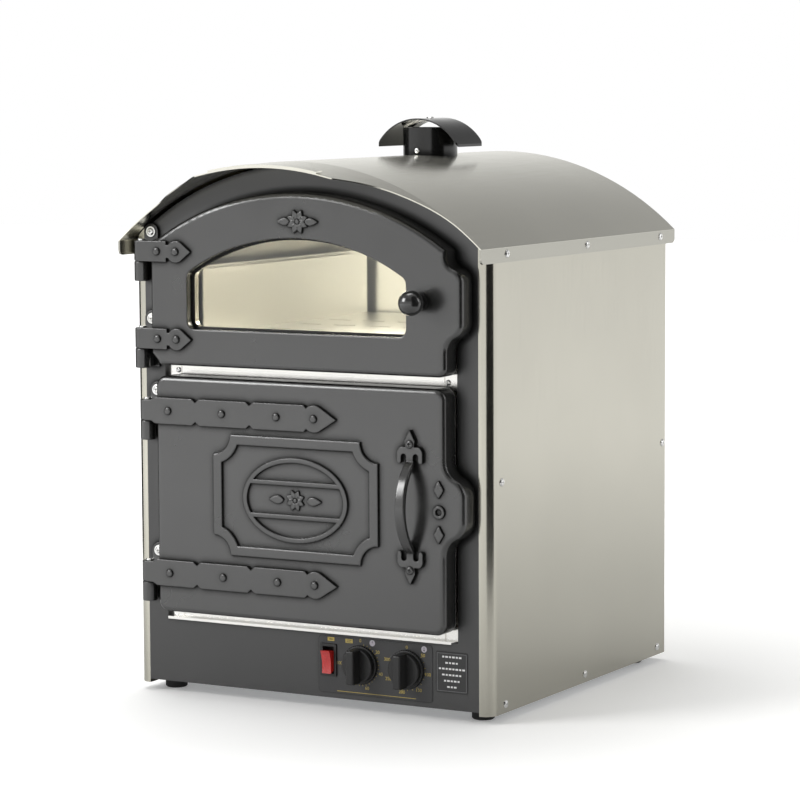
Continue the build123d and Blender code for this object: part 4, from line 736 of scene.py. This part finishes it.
dials = {  # angles in degrees, clockwise from the top; radius of the ring of numbers in mm
    "timer": {"radius": 26.5, "labels": [str(20 * step) for step in range(6)],
              "first": 0.0, "step": 54.0, "ticks": 23, "tickFirst": 10.8, "tickStep": 10.8},
    "thermostat": {"radius": 26.0, "labels": [str(50 * step) for step in range(1, 7)],
                   "first": 50.0, "step": 48.0, "ticks": 16, "tickFirst": 50.0, "tickStep": 16.0},
}
tick = {"length": 1.5, "width": 0.45, "ring": 22.6}
zeroDrop = 2.0  # a dial that doesn't start at 0 has its 0 at the top, this much nearer the knob


def knobCentre(name, y):  # on the axis of a knob
    low, high = corners(name + "_knob")
    return Vector(((low.x + high.x) / 2, y, (low.z + high.z) / 2))


def addDial(name, facts):
    centre = knobCentre(name, overlayFront)
    x, z, radius = centre.x / mm, centre.z / mm, facts["radius"]
    entries = []
    for index, label in enumerate(facts["labels"]):
        angle = math.radians(facts["first"] + index * facts["step"])
        entries.append((label, x + radius * math.sin(angle), z + radius * math.cos(angle)))
    if facts["first"]:
        entries.append(("0", x, z + radius - zeroDrop))
    words(name + "Numbers", entries, overlayFront, "goldPrint", "casing")
    mark = loosePiece("tick", [rectangle(0, 0, tick["length"], tick["width"])], printHeight)
    start, step = 90 - facts["tickFirst"], -facts["tickStep"]
    ring(name + "Ticks", mark, centre, facts["ticks"], tick["ring"], start, step, "goldPrint", "casing")
    bpy.data.objects.remove(mark)


knobRibs = {"count": 48, "thick": 0.7, "wide": 1.3, "long": 2.6, "rounding": 0.2, "proud": 0.1,
            "gap": 1.2}  # gap: between the fascia and the ribs


def addKnobRibs(name):  # the fluted rim of a knob's skirt
    low, high = corners(name + "_knob")
    radius = (high.x - low.x) / 2 / mm + knobRibs["proud"]
    rib = loosePiece("rib", [rectangle(0, 0, knobRibs["thick"], knobRibs["wide"])], knobRibs["long"],
                     knobRibs["rounding"])
    centre = knobCentre(name, fasciaFront - knobRibs["gap"] * mm)
    count = knobRibs["count"]
    ring(name + "Ribs", rib, centre, count, radius, 0, 360 / count, "blackPlastic", name)
    bpy.data.objects.remove(rib)


for name, facts in dials.items():
    addDial(name, facts)
    addKnobRibs(name)

symbols = {  # outlines by finish, in mm on the overlay; an outline inside another is cut out
    "goldPrint": [
        rectangle(27.4, 78.0, 8.5, 4.2),  # a switch
        rectangle(27.4, 78.0, 4.0, 1.0),
        rectangle(50.2, 77.6, 9.0, 4.4),  # an oven with two shelves
        rectangle(50.2, 78.6, 6.0, 0.7),
        rectangle(50.2, 76.6, 6.0, 0.7),
        rectangle(84.0, 21.4, 98.5, 0.55),  # the rule below the dials
    ],
    "palePrint": [
        circle(79.3, 77.6, 3.4),  # a clock
        rectangle(79.3, 78.6, 0.7, 2.4),
        circle(143.3, 76.2, 3.4),  # a thermometer
        rectangle(143.3, 77.0, 0.7, 2.8),
        circle(143.3, 74.9, 0.9, 16),
    ],
}
for finish, outlines in symbols.items():
    relief(finish + "Symbols", outlines, overlayFront, printHeight, finish, "casing")

ratingPrint = {"top": 5.0, "pitch": 6.5, "height": 1.9, "widths": (23, 17, 31, 24, 19, 11),
               "dash": 3.2, "shortDash": 2.4, "gap": 0.9, "borderInset": 1.2, "borderWidth": 0.35}


def addRatingPrint():  # broken rules in place of lettering, inside a thin border
    low, high = corners("rating_plate")
    inset, line = ratingPrint["borderInset"], ratingPrint["borderWidth"]
    wide, tall = (high.x - low.x) / mm - 2 * inset, (high.z - low.z) / mm - 2 * inset
    middle, level = (high.x + low.x) / 2 / mm, (high.z + low.z) / 2 / mm
    border = [rectangle(middle, level, wide - cut, tall - cut) for cut in (0, 2 * line)]
    relief("ratingBorder", border, plateFront, printHeight, "greyPrint", "casing")
    dashes = []
    step = ratingPrint["dash"] + ratingPrint["gap"]
    for row, width in enumerate(ratingPrint["widths"]):
        z = high.z / mm - ratingPrint["top"] - row * ratingPrint["pitch"]
        count = round(width / step)
        for index in range(count):
            x = middle + (index - (count - 1) / 2) * step
            size = ratingPrint["dash"] if (index + row) % 2 else ratingPrint["shortDash"]
            dashes.append(rectangle(x, z, size, ratingPrint["height"]))
    relief("ratingRules", dashes, plateFront, printHeight, "whitePrint", "casing")


addRatingPrint()
print("prints added")

crossHead = {"segments": 16, "height": 0.5, "recess": 0.34,  # a ring: radius, level, if the cross cuts it
             "rings": ((0.16, 1.0, True), (0.36, 0.98, True), (0.50, 0.95, False), (0.72, 0.86, False),
                       (0.90, 0.62, False), (1.0, 0.30, False), (1.0, -0.3, False))}


def crossHeadPiece():  # a domed head of radius 1 on its seat, facing up, with a cross recess
    count = crossHead["segments"]
    height = crossHead["height"]
    depth = crossHead["recess"]
    points = [(0, 0, height - depth)]
    for radius, level, cut in crossHead["rings"]:
        for step in range(count):
            turn = 2 * math.pi * step / count
            drop = depth if cut and step % (count // 4) == 0 else 0
            points.append((radius * math.cos(turn), radius * math.sin(turn), height * level - drop))
    faces = [(0, 1 + step, 1 + (step + 1) % count) for step in range(count)]
    for row in range(len(crossHead["rings"]) - 1):
        for step in range(count):
            here = 1 + row * count + step
            there = 1 + row * count + (step + 1) % count
            faces.append((here, here + count, there + count, there))
    faces.append(tuple(1 + (len(crossHead["rings"]) - 1) * count + step for step in reversed(range(count))))
    mesh = bpy.data.meshes.new("crossHead")
    mesh.from_pydata(points, [], faces)
    return newObject("crossHead", mesh)


def islands(name):  # the separate solids of a node, as lists of points
    shape = bmesh.new()
    shape.from_mesh(nodes[name].data)
    bmesh.ops.remove_doubles(shape, verts=shape.verts, dist=0.001 * mm)
    left = set(shape.verts)
    found = []
    for seed in shape.verts:
        if seed not in left:
            continue
        left.discard(seed)
        stack = [seed]
        group = [seed]
        while stack:
            for edge in stack.pop().link_edges:
                for vertex in edge.verts:
                    if vertex in left:
                        left.discard(vertex)
                        stack.append(vertex)
                        group.append(vertex)
        found.append([nodes[name].matrix_world @ vertex.co for vertex in group])
    shape.free()
    return found


def headPlace(points):  # where a screw's head sits, the way it faces, and its radius
    low = Vector([min(point[axis] for point in points) for axis in range(3)])
    high = Vector([max(point[axis] for point in points) for axis in range(3)])
    middle = (low + high) / 2
    lean = sum(points, Vector()) / len(points) - middle
    axis = max(range(3), key=lambda pick: abs(lean[pick]))
    way = Vector((0, 0, 0))
    way[axis] = math.copysign(1, lean[axis])
    top = middle.copy()
    top[axis] = high[axis] if way[axis] > 0 else low[axis]
    radius = max((high - low)[other] for other in range(3) if other != axis) / 2
    return top, way, radius


screwNodes = {  # node: body, finish, and the head's share of the widest part, which may be a washer
    "casing_screws": ("casing", "zinc", 1.0),
    "cowl_screws": ("casing", "zinc", 1.0),
    "handle_screws": ("lower_leaf", "strapEnamel", 1.0),
    "bracket_screws": ("casing", "zinc", 0.7),
}


def addScrews(name, body, finish, share):
    head = crossHeadPiece()
    seats, turns, sizes = [], [], []
    washers = []
    for points in islands(name):
        top, way, radius = headPlace(points)
        seats.append(top - way * crossHead["height"] * radius * share)
        turns.append(way.to_track_quat("Z", "Y").to_euler())
        sizes.append(radius * share)
        if share < 1:
            washers.append((top, radius))
    mesh = bpy.data.meshes.new(name + "Dressed")
    mesh.from_pydata(seats, [], [])
    mesh.attributes.new("turn", "FLOAT_VECTOR", "POINT")
    mesh.attributes.new("headRadius", "FLOAT", "POINT")
    for index in range(len(seats)):
        mesh.attributes["turn"].data[index].vector = tuple(turns[index])
        mesh.attributes["headRadius"].data[index].value = sizes[index]
    values = {"Piece": head, "Finish": finishes[finish]}
    dressed = addPiece(name + "Dressed", grown(name + "Heads", mesh, trees["heads"], values), finish, body)
    bpy.data.objects.remove(head)
    return dressed, washers


washer = {"thickness": 1.0, "hole": 2.2, "rounding": 0.2, "plate": 3.0}  # plate: of the bracket below it
for name, (body, finish, share) in screwNodes.items():
    dressed, washers = addScrews(name, body, finish, share)
    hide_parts(name)
    if washers:
        rings = []
        for top, radius in washers:
            rings += [circle(top.x / mm, top.z / mm, edge) for edge in (radius / mm, washer["hole"])]
        face = max(corners("hinge_brackets")[1].y, fasciaFront) - washer["plate"] * mm
        relief("bracketWashers", rings, face, washer["thickness"], finish, body, washer["rounding"])
print("screws dressed")
